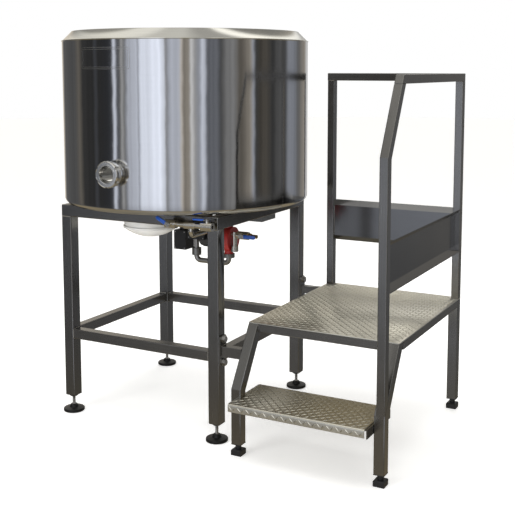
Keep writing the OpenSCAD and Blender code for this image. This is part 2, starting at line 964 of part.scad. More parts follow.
module deck_frame() {
    w = rail_tube;
    color(steel) placed() {
        tube_x([deck_x0 + leg_tube, deck_y, frame_z], [deck_x1 - leg_tube, deck_y + w, deck_under], tube_t);
        tube_x([deck_x0, deck_y1 - w, frame_z], [deck_x1 - leg_tube, deck_y1, deck_under], tube_t);
        tube_y([deck_x0, stringer_back, frame_z], [deck_x0 + w, deck_y1 - w, deck_under], tube_t);
        tube_y([deck_x1 - w, stringer_back, frame_z], [deck_x1, deck_y1 - leg_tube, deck_under], tube_t);
    }
}

module guard_posts() {
    w = rail_tube;
    x0 = deck_x1 - w;
    top = guard_z - w;
    cope = bend_z + w * tan(stringer_a);
    color(steel) placed() {
        post([deck_x0 + w / 2, deck_y1 - w / 2], w, tube_t, deck_z, top);
        post([deck_x1 - w / 2, deck_y1 - w / 2], w, tube_t, deck_z, top);
        difference() {
            slab_x(x0, deck_x1)
                polygon([[front_y, bend_z], [front_y, slope_z],
                         bent_edge(front_y, slope_z, slope_a, w, 0, guard_z)[1], [front_y + w, cope]]);
            box([x0 + tube_t, front_y + tube_t, bend_z - eps],
                [deck_x1 - tube_t, front_y + w - tube_t, slope_z + eps]);
        }
    }
}

module sloped_rail() {
    w = rail_tube;
    low = bent_edge(front_y, slope_z, slope_a, 0, 0, guard_z - w);
    high = bent_edge(front_y, slope_z, slope_a, w, 0, guard_z - w);
    low_in = bent_edge(front_y, slope_z, slope_a, tube_t, 0, guard_z - w + eps);
    high_in = bent_edge(front_y, slope_z, slope_a, w - tube_t, 0, guard_z - w + eps);
    color(steel) placed()
        difference() {
            slab_x(deck_x1 - w, deck_x1)
                polygon([low[1], low[2], high[2], high[1]]);
            slab_x(deck_x1 - w + tube_t, deck_x1 - tube_t)
                polygon([low_in[1] - [0, eps], low_in[2], high_in[2], high_in[1] - [0, eps]]);
        }
}

module top_rails() {
    w = rail_tube;
    front_low = front_y + (guard_z - w - slope_z) / tan(slope_a);
    color(steel) placed() {
        tube_x([deck_x0, deck_y1 - w, guard_z - w], [deck_x1 - w, deck_y1, guard_z], tube_t);
        difference() {
            slab_x(deck_x1 - w, deck_x1)
                polygon([[front_low, guard_z - w], [slope_y, guard_z],
                         [deck_y1, guard_z], [deck_y1, guard_z - w]]);
            box([deck_x1 - w + tube_t, slope_y + tube_t, guard_z - w + tube_t],
                [deck_x1 - tube_t, deck_y1 - tube_t, guard_z - tube_t]);
        }
    }
}

// Outline of a bent sheet: straight in the middle, both lips leaning out to the posts' outer faces at u = 0.
module lipped_outline() {
    low = panel_top - panel_h;
    k = sheet_t * 1.414;
    polygon([[0, panel_top], [-panel_in, panel_top - panel_in], [-panel_in, low + panel_in], [0, low],
             [0, low + k], [-panel_in + sheet_t, low + panel_in + k / 3],
             [-panel_in + sheet_t, panel_top - panel_in - k / 3], [0, panel_top - k]]);
}

module rear_panel() {
    color(steel) placed()
        slab_x(deck_x0 + rail_tube, deck_x1 - rail_tube)
            translate([deck_y1, 0])
                lipped_outline();
}

module side_panel() {
    y0 = front_y + rail_tube;
    y1 = deck_y1 - rail_tube;
    color(steel) placed()
        translate([deck_x1, y1, 0])
            rotate([90, 0, 0])
                linear_extrude(height = y1 - y0)
                    lipped_outline();
}

module link_rail() {
    x0 = half;
    x1 = x0 + link_t;
    w = tube - 2;
    arm = rail_tube / 2;
    color(steel) placed()
        difference() {
            union() {
                box([x0, -leg_c - w / 2, near_plate_z], [x1, -leg_c + w / 2, near_plate_top]);
                box([x0, leg_c - w / 2, near_plate_z], [x1, leg_c + w / 2, rear_plate_top]);
                tube_x([x1, -leg_c - arm, link_z0], [deck_x0, -leg_c + arm, link_z0 + link_h], tube_t);
                tube_x([x1, leg_c - arm, frame_z], [deck_x0, leg_c + arm, deck_under], tube_t);
                tube_y([x1, -leg_c + arm, link_z0],
                       [x1 + rail_tube, leg_c + w / 2, link_z0 + link_h], tube_t);
            }
            link_holes();
        }
}

// Bolt with its washer outside the plate and its round threaded insert inside the leg.
module link_bolt(y, z) {
    head = 13;
    washer_t = 3;
    washer_r = 18.5;
    inside = half - tube_t - rivet_len;
    outside = half + link_t;
    translate([0, y, z]) {
        rod_x([inside - 6, 0, 0], bolt_r, outside + washer_t - inside + 6 + eps);
        rod_x([inside, 0, 0], rivet_r, rivet_len);
        rod_x([outside, 0, 0], washer_r, washer_t);
        translate([outside + washer_t, 0, 0])
            rotate([0, 90, 0])
                cylinder(r = 17.3, h = head, $fn = 6);
    }
}

module link_bolts() {
    color(bright) placed() {
        for (z = near_bolts)
            link_bolt(-leg_c, z);
        for (z = rear_bolts)
            link_bolt(leg_c, z);
    }
}

insert_up = 45;

module tube_inserts() {
    inner = leg_tube / 2 - tube_t - 0.2;
    outer = leg_tube / 2;
    color(black) placed()
        for (p = stair_legs)
            translate([p[0], p[1], 0])
                difference() {
                    union() {
                        box([-inner, -inner, stair_end], [inner, inner, stair_end + insert_up]);
                        box([-outer, -outer, stair_end - 3], [outer, outer, stair_end]);
                    }
                    rod_z([0, 0, stair_end - 3 - eps], stem_r + thread_fit, insert_up + 10);
                }
}

module bevelled_slab() {
    w = block_w / 2;
    b = 4;
    slab_x(-w, w)
        polygon([[-w, 0], [w, 0], [w, block_h - b], [w - b, block_h], [-w + b, block_h], [-w, block_h - b]]);
}

module stair_foot(i) {
    p = stair_legs[i];
    color(black) placed()
        translate([p[0], p[1], 0])
            union() {
                intersection() {
                    bevelled_slab();
                    rotate([0, 0, 90])
                        bevelled_slab();
                }
                rod_z([0, 0, block_h - 1], stem_r, stair_end + insert_up - block_h - 12);
            }
}

module stair_foot_1() { stair_foot(0); }
module stair_foot_2() { stair_foot(1); }
module stair_foot_3() { stair_foot(2); }

outer_shell();
rim_cone();
inner_vessel();
jacket_shell();
insulation();
base_plate();
support_pads();
outlet_pipe();
outlet_gasket();
outlet_liner();
outlet_nut();
heating_element();
heater_box();
temp_probe();
expansion_vessel();
pump_volute();
pump_motor();
pump_terminal_box();
pump_rotor();
union_nuts();
flow_pipe();
return_pipe();
fill_manifold();
valve_bodies();
lever_fill();
lever_drain();
lever_blowdown();
hose_nozzle();
drain_tee();
wiring_box();
stand_legs();
top_beams();
lower_rails();
leg_caps();
foot_pad_1();
foot_pad_2();
foot_pad_3();
foot_pad_4();
foot_spindle_1();
foot_spindle_2();
foot_spindle_3();
foot_spindle_4();
deck_plate();
step_tread();
step_brackets();
stringer_left();
stringer_right();
rear_leg();
deck_frame();
guard_posts();
top_rails();
sloped_rail();
rear_panel();
side_panel();
link_rail();
link_bolts();
tube_inserts();
stair_foot_1();
stair_foot_2();
stair_foot_3();
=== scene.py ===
# %% [markdown]
# # A jacketed vat with its service platform
# The solid model already fixes every size and joint. This lesson gives it its looks: rounded tubes, a
# polished shell, chequer plate with real raised bars, threads, welds, and a finish for every surface.

# %% Load the frame
import bpy
import bmesh
import json
import math
import random
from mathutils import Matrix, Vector


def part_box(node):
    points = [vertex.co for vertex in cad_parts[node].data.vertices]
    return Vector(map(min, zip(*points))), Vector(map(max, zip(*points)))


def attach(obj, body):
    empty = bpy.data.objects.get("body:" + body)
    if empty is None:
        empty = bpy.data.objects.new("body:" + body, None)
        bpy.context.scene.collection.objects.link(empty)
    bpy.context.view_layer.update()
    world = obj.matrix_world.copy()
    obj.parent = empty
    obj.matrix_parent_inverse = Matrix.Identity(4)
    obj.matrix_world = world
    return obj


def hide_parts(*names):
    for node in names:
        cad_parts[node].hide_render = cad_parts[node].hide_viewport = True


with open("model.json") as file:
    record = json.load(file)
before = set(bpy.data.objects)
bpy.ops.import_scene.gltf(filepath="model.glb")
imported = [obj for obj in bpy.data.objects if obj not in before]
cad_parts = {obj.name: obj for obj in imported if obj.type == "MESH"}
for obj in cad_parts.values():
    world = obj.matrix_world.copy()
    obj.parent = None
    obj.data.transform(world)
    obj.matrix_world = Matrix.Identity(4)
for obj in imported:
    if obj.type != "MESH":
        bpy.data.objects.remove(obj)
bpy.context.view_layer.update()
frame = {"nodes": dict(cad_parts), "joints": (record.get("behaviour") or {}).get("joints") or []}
random.seed(7)
NODES = frame["nodes"]
ROOT = "vat_and_platform"

# %% [markdown]
# ## The camera
# A person's eye height, a little to the right of the vat, turned so that both the outlet and the steps show.
# The view is framed lower than the eye looks, so the lens is shifted.
# A shift keeps upright legs upright, which tilting the camera further would not.

# %% Camera
EYE = (2.3156, -4.1216, 1.7793)
LOOK_DOWN, LOOK_LEFT = 6.174, 27.966
cam_data = bpy.data.cameras.new("camera")
cam_data.sensor_width = 36.0
cam_data.lens = 65.23
cam_data.shift_x = -0.0117
cam_data.shift_y = -0.1708
camera = bpy.data.objects.new("camera", cam_data)
camera.location = EYE
camera.rotation_euler = (math.radians(90 - LOOK_DOWN), 0.0, math.radians(LOOK_LEFT))
bpy.context.scene.collection.objects.link(camera)
bpy.context.scene.camera = camera
bpy.context.scene.view_settings.view_transform = "Standard"
print("camera at", [round(v, 3) for v in camera.location])

# %% [markdown]
# ## The studio
# Bare steel has almost no colour of its own: what we see on it is the room. A row of upright soft strips
# with dark gaps between them gives a round tank its bands. The strips are painted on the world by compass
# direction, as a ring of soft boxes would stand round the object. Rows of lamps cross the ceiling above them,
# and below them lies a dull floor. The camera itself sees a plain white backdrop.

# %% Ring of soft strips
COOL, PLAIN, WARM = (0.93, 0.98, 1.10), (1.0, 1.0, 1.0), (1.08, 0.98, 0.84)
LEFT_STRIPS = [(-180, 0.10, PLAIN), (-172, 0.16, WARM), (-166, 0.05, PLAIN), (-150, 0.035, PLAIN),
               (-147, 0.09, COOL), (-144, 0.035, PLAIN), (-132, 0.04, COOL), (-127.5, 0.10, COOL),
               (-126, 0.90, COOL), (-124, 0.80, COOL), (-122.5, 0.16, COOL), (-119, 0.14, PLAIN),
               (-117.5, 0.55, PLAIN), (-115, 0.20, PLAIN), (-112, 0.62, COOL), (-106, 0.72, COOL),
               (-102.5, 0.78, COOL), (-101.5, 0.30, COOL), (-99.5, 1.20, COOL), (-92, 1.05, COOL),
               (-90, 1.35, COOL), (-80, 1.25, COOL), (-77.5, 1.05, COOL), (-76, 0.34, PLAIN),
               (-73, 0.62, COOL), (-64, 0.70, COOL), (-61.5, 0.66, WARM), (-60, 0.26, WARM)]
RIGHT_STRIPS = [(-60, 0.26, WARM), (-55, 0.34, WARM), (-53.5, 0.90, PLAIN), (-51.5, 0.70, PLAIN),
                (-50, 0.36, PLAIN), (-46, 0.50, COOL), (-44, 0.85, COOL), (-41, 0.70, COOL),
                (-39, 0.17, COOL), (-30, 0.20, COOL), (-26, 0.07, PLAIN), (-22, 0.24, PLAIN),
                (-14, 0.30, PLAIN), (-9, 0.12, WARM), (-2, 0.20, WARM), (3, 0.36, WARM),
                (6, 0.50, COOL), (8.5, 0.06, PLAIN), (13, 0.07, WARM), (20, 0.10, WARM),
                (28, 0.05, PLAIN), (38, 0.12, PLAIN), (46, 0.08, PLAIN), (52, 0.34, COOL),
                (62, 0.30, COOL), (70, 0.16, PLAIN), (88, 0.32, WARM), (100, 0.66, PLAIN),
                (122, 0.24, WARM), (136, 0.75, WARM), (150, 0.12, PLAIN), (180, 0.10, PLAIN)]
print("soft strips:", len(LEFT_STRIPS) + len(RIGHT_STRIPS))


# %% Compass direction in the world's nodes
def math_node(tree, operation, first, second=None):
    node = tree.nodes.new("ShaderNodeMath")
    node.operation = operation
    for socket, value in zip(node.inputs, (first, second)):
        if value is None:
            continue
        if isinstance(value, (int, float)):
            socket.default_value = value
        else:
            tree.links.new(value, socket)
    return node.outputs[0]


world = bpy.data.worlds.new("studio")
bpy.context.scene.world = world
world.use_nodes = True
tree = world.node_tree
tree.nodes.clear()
coords = tree.nodes.new("ShaderNodeTexCoord")
split = tree.nodes.new("ShaderNodeSeparateXYZ")
tree.links.new(coords.outputs["Generated"], split.inputs[0])
angle = math_node(tree, "ARCTAN2", split.outputs["Y"], split.outputs["X"])
turn = math_node(tree, "ADD", math_node(tree, "DIVIDE", angle, 2 * math.pi), 0.5)
print("nodes for the direction:", len(tree.nodes))


# %% The ring: two ramps that meet at one direction
def ramp_of(stops, source):
    """A colour ramp of (place, colour) stops that reads the given socket."""
    ramp = tree.nodes.new("ShaderNodeValToRGB")
    elements = ramp.color_ramp.elements
    elements.remove(elements[1])
    for i, (place, tone) in enumerate(stops):
        stop = elements[0] if i == 0 else elements.new(place)
        stop.position = place
        stop.color = (*tone, 1)
    tree.links.new(source, ramp.inputs[0])
    return ramp.outputs[0]


def strip_ramp(strips):
    stops = [(degrees / 360 + 0.5, [level * c for c in tone]) for degrees, level, tone in strips]
    return ramp_of(stops, turn)


SPLIT = -60
ring = tree.nodes.new("ShaderNodeMix")
ring.data_type = "RGBA"
tree.links.new(math_node(tree, "GREATER_THAN", turn, 0.5 + SPLIT / 360), ring.inputs["Factor"])
tree.links.new(strip_ramp(LEFT_STRIPS), ring.inputs["A"])
tree.links.new(strip_ramp(RIGHT_STRIPS), ring.inputs["B"])
print("the ramps meet at", SPLIT, "degrees")

# %% Fine streaks within the strips
fine = tree.nodes.new("ShaderNodeTexNoise")
fine.noise_dimensions = "1D"
fine.inputs["Scale"].default_value = 90.0
fine.inputs["Detail"].default_value = 4.0
tree.links.new(turn, fine.inputs["W"])
ripple = math_node(tree, "ADD", math_node(tree, "MULTIPLY", fine.outputs[0], 0.7), 0.65)
banded = tree.nodes.new("ShaderNodeVectorMath")
banded.operation = "SCALE"
tree.links.new(ring.outputs["Result"], banded.inputs[0])
tree.links.new(ripple, banded.inputs["Scale"])
print("streak noise scale:", fine.inputs["Scale"].default_value)


# %% Ceiling with its rows of lamps, and the floor
def combine(operation, first, second):
    node = tree.nodes.new("ShaderNodeVectorMath")
    node.operation = operation
    tree.links.new(first, node.inputs[0])
    tree.links.new(second, node.inputs[1])
    return node.outputs[0]


def from_signed(socket):
    """Brings a value that runs from -1 to 1 into the 0 to 1 that a ramp reads."""
    return math_node(tree, "ADD", math_node(tree, "MULTIPLY", socket, 0.5), 0.5)


def signed_ramp(stops, source):
    return ramp_of([(value / 2 + 0.5, tone) for value, tone in stops], source)


up = from_signed(split.outputs["Z"])
ring_share = signed_ramp([(-0.32, (0.06, 0.06, 0.06)), (-0.18, (1, 1, 1)),
                          (0.34, (1, 1, 1)), (0.70, (0, 0, 0))], up)
floor_tone = signed_ramp([(-1.0, (0.26, 0.24, 0.19)), (-0.42, (0.32, 0.26, 0.16)),
                          (-0.31, (0.11, 0.11, 0.11)), (-0.20, (0, 0, 0))], up)
ceiling = signed_ramp([(0.20, (0, 0, 0)), (0.50, (0.62, 0.61, 0.58)),
                       (0.75, (0.95, 0.93, 0.88)), (1.0, (0.95, 0.94, 0.92))], up)
LAMP_ROWS = [(-0.85, 0.45), (-0.58, 0.40), (-0.50, 1.15), (-0.30, 1.10), (-0.20, 0.75), (-0.02, 0.80),
             (0.10, 0.50), (0.26, 0.50), (0.32, 1.75), (0.40, 1.60), (0.47, 0.30), (0.85, 0.30)]
across = tree.nodes.new("ShaderNodeVectorMath")
across.operation = "DOT_PRODUCT"
tree.links.new(coords.outputs["Generated"], across.inputs[0])
across.inputs[1].default_value = (0.84, 0.54, 0.0)
rows = signed_ramp([(sideways, (level, level, level)) for sideways, level in LAMP_ROWS],
                   from_signed(across.outputs["Value"]))
lit = tree.nodes.new("ShaderNodeVectorMath")
lit.operation = "SCALE"
tree.links.new(ceiling, lit.inputs[0])
tree.links.new(rows, lit.inputs["Scale"])
print("stops in the lamp rows:", len(LAMP_ROWS))

# %% The room for reflections, white for the camera
walls = combine("MULTIPLY", banded.outputs[0], ring_share)
room = combine("ADD", combine("ADD", walls, floor_tone), lit.outputs[0])
light = tree.nodes.new("ShaderNodeBackground")
tree.links.new(room, light.inputs["Color"])
light.inputs["Strength"].default_value = 1.0
pale = tree.nodes.new("ShaderNodeBackground")
pale.inputs["Color"].default_value = (1.0, 1.0, 1.0, 1)
pale.inputs["Strength"].default_value = 1.0
which = tree.nodes.new("ShaderNodeMixShader")
ray = tree.nodes.new("ShaderNodeLightPath")
tree.links.new(ray.outputs["Is Camera Ray"], which.inputs[0])
tree.links.new(light.outputs[0], which.inputs[1])
tree.links.new(pale.outputs[0], which.inputs[2])
out = tree.nodes.new("ShaderNodeOutputWorld")
tree.links.new(which.outputs[0], out.inputs[0])
print("world nodes:", len(tree.nodes))

# %% [markdown]
# ### Soft boxes
# Three area lamps light the paint, plastic and rubber and cast the soft shadows. They are hidden from the
# steel's reflections, where a bare rectangle would look like a window: the steel shows the painted room only.

# %% Soft boxes
def soft_box(name, place, target, size, power):
    data = bpy.data.lights.new(name, "AREA")
    data.shape = "RECTANGLE"
    data.size, data.size_y = size
    data.energy = power
    lamp = bpy.data.objects.new(name, data)
    lamp.location = place
    lamp.rotation_euler = (Vector(target) - Vector(place)).to_track_quat("-Z", "Y").to_euler()
    lamp.visible_glossy = False
    bpy.context.scene.collection.objects.link(lamp)
    return lamp


soft_box("overhead_box", (0.3, -0.6, 4.6), (0.2, 0, 0.6), (3.6, 3.6), 110)
soft_box("rear_box", (-0.9, 3.9, 3.6), (0.4, 0, 0.5), (3.0, 1.6), 60)
soft_box("front_box", (-1.6, -5.2, 2.6), (0, 0, 1.0), (2.4, 2.4), 90)
print("soft boxes: 3")

# %% [markdown]
# ## Reusable shader pieces
# Real sheet and tube are never one even grey. Three effects come back in many finishes here: fine grain
# from rolling and brushing, slow cloudiness from handling, and brighter, rounder edges. Each is built once
# as a node group with its own inputs, then placed in the materials that need it.

# %% Group helpers
def new_group(name, inputs, outputs):
    group = bpy.data.node_groups.new(name, "ShaderNodeTree")
    for label, kind, value in inputs:
        socket = group.interface.new_socket(label, in_out="INPUT", socket_type=kind)
        if value is not None:
            socket.default_value = value
    for label, kind in outputs:
        group.interface.new_socket(label, in_out="OUTPUT", socket_type=kind)
    return group, group.nodes.new("NodeGroupInput"), group.nodes.new("NodeGroupOutput")


FLOAT, VECTOR = "NodeSocketFloat", "NodeSocketVector"

# %% Grain: fine lines that run one way
grain_group, gi, go = new_group(
    "grain", [("Stretch", VECTOR, (6.0, 6.0, 900.0)), ("Contrast", FLOAT, 0.5)],
    [("Height", FLOAT), ("Shade", FLOAT)])
coords = grain_group.nodes.new("ShaderNodeTexCoord")
scaled = grain_group.nodes.new("ShaderNodeVectorMath")
scaled.operation = "MULTIPLY"
grain_group.links.new(coords.outputs["Object"], scaled.inputs[0])
grain_group.links.new(gi.outputs["Stretch"], scaled.inputs[1])
lines = grain_group.nodes.new("ShaderNodeTexNoise")
lines.inputs["Scale"].default_value = 1.0
lines.inputs["Detail"].default_value = 5.0
lines.inputs["Roughness"].default_value = 0.65
grain_group.links.new(scaled.outputs[0], lines.inputs["Vector"])
centred = math_node(grain_group, "SUBTRACT", lines.outputs[0], 0.5)
shade = math_node(grain_group, "MULTIPLY", centred, gi.outputs["Contrast"])
grain_group.links.new(lines.outputs[0], go.inputs["Height"])
grain_group.links.new(shade, go.inputs["Shade"])
print("group:", grain_group.name)

# %% Clouding: slow patches from rolling, wiping and handling
cloud_group, gi, go = new_group(
    "clouding", [("Size", FLOAT, 5.0), ("Amount", FLOAT, 0.2)], [("Shade", FLOAT), ("Height", FLOAT)])
coords = cloud_group.nodes.new("ShaderNodeTexCoord")
patches = cloud_group.nodes.new("ShaderNodeTexNoise")
patches.inputs["Detail"].default_value = 3.0
cloud_group.links.new(coords.outputs["Object"], patches.inputs["Vector"])
cloud_group.links.new(gi.outputs["Size"], patches.inputs["Scale"])
centred = math_node(cloud_group, "SUBTRACT", patches.outputs[0], 0.5)
cloud_group.links.new(math_node(cloud_group, "MULTIPLY", centred, gi.outputs["Amount"]), go.inputs["Shade"])
cloud_group.links.new(patches.outputs[0], go.inputs["Height"])
print("group:", cloud_group.name)

# %% Edges: rounded and rubbed brighter
edge_group, gi, go = new_group(
    "rubbed_edges", [("Radius", FLOAT, 0.002), ("Amount", FLOAT, 0.3)], [("Normal", VECTOR), ("Mask", FLOAT)])
bevel = edge_group.nodes.new("ShaderNodeBevel")
bevel.samples = 4
edge_group.links.new(gi.outputs["Radius"], bevel.inputs["Radius"])
geometry = edge_group.nodes.new("ShaderNodeNewGeometry")
dot = edge_group.nodes.new("ShaderNodeVectorMath")
dot.operation = "DOT_PRODUCT"
edge_group.links.new(bevel.outputs[0], dot.inputs[0])
edge_group.links.new(geometry.outputs["Normal"], dot.inputs[1])
bent = math_node(edge_group, "SUBTRACT", 1.0, dot.outputs["Value"])
EDGE_GAIN = 6.0
full = math_node(edge_group, "MINIMUM", math_node(edge_group, "MULTIPLY", bent, EDGE_GAIN), 1.0)
mask = math_node(edge_group, "MULTIPLY", full, gi.outputs["Amount"])
edge_group.links.new(bevel.outputs[0], go.inputs["Normal"])
edge_group.links.new(mask, go.inputs["Mask"])
print("group:", edge_group.name)

# %% [markdown]
# ## Finishes
# Every finish starts from one plain recipe: a base colour with some clouding and grain mixed in, a
# roughness that varies with them, and a bump from the grain. The numbers that stay the same all over a
# surface, such as how far its highlights stretch, go straight on the shader.

# %% The recipe for one finish
def finish(name, color, metallic=0.0, rough=0.4, stretch=None, grain=0.3, bump=0.02, cloud=0.2,
           cloud_size=5.0, edge=0.0, edge_r=0.0015, aniso=0.0, aniso_turn=0.0, coat=0.0, tangent=None,
           wave=0.0, specular=0.5):
    mat = bpy.data.materials.new(name)
    mat.use_nodes = True
    t = mat.node_tree
    shader = t.nodes["Principled BSDF"]
    shader.inputs["Metallic"].default_value = metallic
    shader.inputs["Anisotropic"].default_value = aniso
    shader.inputs["Anisotropic Rotation"].default_value = aniso_turn
    shader.inputs["Coat Weight"].default_value = coat
    shader.inputs["Coat Roughness"].default_value = 0.12
    shader.inputs["Specular IOR Level"].default_value = specular
    clouds = t.nodes.new("ShaderNodeGroup")
    clouds.node_tree = cloud_group
    clouds.inputs["Size"].default_value = cloud_size
    clouds.inputs["Amount"].default_value = cloud
    lines = t.nodes.new("ShaderNodeGroup")
    lines.node_tree = grain_group
    lines.inputs["Stretch"].default_value = stretch or (260.0, 260.0, 260.0)
    lines.inputs["Contrast"].default_value = grain
    both = math_node(t, "ADD", clouds.outputs["Shade"], lines.outputs["Shade"])
    gain = math_node(t, "ADD", both, 1.0)
    tint = t.nodes.new("ShaderNodeVectorMath")
    tint.operation = "SCALE"
    tint.inputs[0].default_value = color
    t.links.new(gain, tint.inputs["Scale"])
    base = tint.outputs[0]
    roughness = math_node(t, "ADD", math_node(t, "MULTIPLY", both, rough * 0.8), rough)
    bump_node = t.nodes.new("ShaderNodeBump")
    bump_node.inputs["Distance"].default_value = 0.0004
    bump_node.inputs["Strength"].default_value = bump
    t.links.new(lines.outputs["Height"], bump_node.inputs["Height"])
    normal = bump_node.outputs[0]
    if wave:
        slow = t.nodes.new("ShaderNodeBump")
        slow.inputs["Distance"].default_value = wave
        slow.inputs["Strength"].default_value = 1.0
        t.links.new(clouds.outputs["Height"], slow.inputs["Height"])
        t.links.new(slow.outputs[0], bump_node.inputs["Normal"])
    if edge:
        rim = t.nodes.new("ShaderNodeGroup")
        rim.node_tree = edge_group
        rim.inputs["Radius"].default_value = edge_r
        rim.inputs["Amount"].default_value = edge
        t.links.new(rim.outputs["Normal"], bump_node.inputs["Normal"])
        mix = t.nodes.new("ShaderNodeMix")
        mix.data_type = "RGBA"
        t.links.new(rim.outputs["Mask"], mix.inputs["Factor"])
        t.links.new(base, mix.inputs["A"])
        mix.inputs["B"].default_value = (*[min(1.0, c * 1.5 + 0.06) for c in color], 1)
        base = mix.outputs["Result"]
    t.links.new(base, shader.inputs["Base Color"])
    t.links.new(roughness, shader.inputs["Roughness"])
    t.links.new(normal, shader.inputs["Normal"])
    if tangent:
        direction = t.nodes.new("ShaderNodeTangent")
        direction.direction_type = "RADIAL"
        direction.axis = tangent
        t.links.new(direction.outputs[0], shader.inputs["Tangent"])
    return mat


# %% [markdown]
# ### Stainless steels
# The shell is thin sheet rolled into a drum and polished round, so its lines run level and its reflections
# smear upright. The tubes are brushed along their length by the mill. The inside of the vessel is smoother
# and duller. Grain is a stretched noise: thousands of cycles across the lines and only a few along them.

# %% Steel finishes
before = len(bpy.data.materials)
LEVEL, UPRIGHT, ALONG_X, ALONG_Y = (3, 3, 900), (700, 700, 3), (3, 700, 700), (700, 3, 700)
shell_steel = finish("shell_steel", (0.60, 0.60, 0.605), 1.0, 0.10, LEVEL, 0.16, 0.06, 0.08, 2.6,
                     aniso=0.9, aniso_turn=0.25, tangent="Z", wave=0.0024)
rim_steel = finish("rim_steel", (0.66, 0.65, 0.60), 1.0, 0.16, LEVEL, 0.25, 0.10, 0.12, 3.0,
                   aniso=0.7, aniso_turn=0.25, tangent="Z", wave=0.0006)
vessel_steel = finish("vessel_steel", (0.62, 0.62, 0.61), 1.0, 0.30, LEVEL, 0.15, 0.06, 0.16, 3.0,
                      aniso=0.5, aniso_turn=0.25, tangent="Z")
base_steel = finish("base_steel", (0.50, 0.50, 0.49), 1.0, 0.38, (90, 90, 90), 0.15, 0.05, 0.25, 4.0)
TUBE_STEEL = (0.25, 0.245, 0.235)
tube_up = finish("tube_steel_upright", TUBE_STEEL, 1.0, 0.25, UPRIGHT, 0.35, 0.10, 0.22, 6.0,
                 aniso=0.55, tangent="Z")
tube_x = finish("tube_steel_along_x", TUBE_STEEL, 1.0, 0.25, ALONG_X, 0.35, 0.10, 0.22, 6.0)
tube_y = finish("tube_steel_along_y", TUBE_STEEL, 1.0, 0.25, ALONG_Y, 0.35, 0.10, 0.22, 6.0)
panel_steel = finish("panel_steel", (0.21, 0.21, 0.21), 1.0, 0.15, (5, 5, 500), 0.25, 0.05, 0.15, 3.0,
                     wave=0.0008)
plate_steel = finish("plate_steel", (0.78, 0.75, 0.65), 1.0, 0.31, (150, 150, 150), 0.30, 0.25, 0.26, 9.0)
fitting_steel = finish("fitting_steel", (0.74, 0.73, 0.70), 1.0, 0.10, (400, 20, 400), 0.14, 0.03, 0.08, 30.0)
bolt_steel = finish("bolt_steel", (0.55, 0.54, 0.52), 1.0, 0.28, (300, 300, 300), 0.25, 0.10, 0.25, 40.0)
weld_steel = finish("weld_steel", (0.50, 0.48, 0.44), 1.0, 0.36, (500, 500, 500), 0.35, 0.2, 0.5, 25.0)
print("steel finishes:", len(bpy.data.materials) - before)

# %% [markdown]
# ### Plastics, paints, rubber and brass
# Moulded black parts are never quite black: a fine spark-eroded grain and dust lift them. Paint on a
# casting keeps some of the sand's pits, and its edges rub through first.

# %% Other finishes
black_plastic = finish("black_plastic", (0.010, 0.010, 0.011), 0.0, 0.45, (900, 900, 900), 0.5, 0.25, 0.35,
                       14.0, edge=0.25, edge_r=0.001)
rubber_black = finish("rubber_black", (0.008, 0.008, 0.008), 0.0, 0.38, (600, 600, 600), 0.5, 0.2, 0.4, 20.0,
                      specular=0.3)
box_grey = finish("box_grey", (0.15, 0.155, 0.16), 0.0, 0.42, (700, 700, 700), 0.4, 0.25, 0.25, 14.0,
                  edge=0.25, edge_r=0.001)
tank_white = finish("tank_white", (0.80, 0.79, 0.76), 0.0, 0.24, (260, 260, 260), 0.06, 0.10, 0.07, 8.0,
                    coat=0.3)
pump_red = finish("pump_red", (0.32, 0.018, 0.016), 0.0, 0.36, (350, 350, 350), 0.4, 0.6, 0.3, 25.0,
                  edge=0.35, edge_r=0.0015)
motor_black = finish("motor_black", (0.03, 0.03, 0.033), 0.0, 0.42, (500, 500, 500), 0.4, 0.4, 0.3, 20.0,
                     edge=0.3, edge_r=0.0012)
lever_blue = finish("lever_blue", (0.012, 0.07, 0.34), 0.0, 0.34, (400, 400, 400), 0.2, 0.15, 0.2, 30.0,
                    coat=0.2)
nickel = finish("nickel", (0.68, 0.65, 0.58), 1.0, 0.20, (350, 350, 350), 0.2, 0.15, 0.25, 35.0,
                edge=0.3, edge_r=0.001)
pipe_dull = finish("pipe_dull", (0.42, 0.41, 0.39), 1.0, 0.40, (300, 300, 300), 0.3, 0.15, 0.35, 18.0)
galvanised = finish("galvanised", (0.30, 0.30, 0.29), 1.0, 0.45, (200, 200, 200), 0.4, 0.3, 0.5, 40.0)
brass = finish("brass", (0.66, 0.46, 0.19), 1.0, 0.26, (300, 300, 300), 0.2, 0.10, 0.25, 40.0,
               edge=0.2, edge_r=0.001)
foam_yellow = finish("foam_yellow", (0.72, 0.62, 0.34), 0.0, 0.9, (180, 180, 180), 0.4, 0.8, 0.2, 12.0)
print("finishes so far:", len(bpy.data.materials) - before)

# %% [markdown]
# ### Where each finish goes
# Parts whose shape is already right keep it and only change their finish.

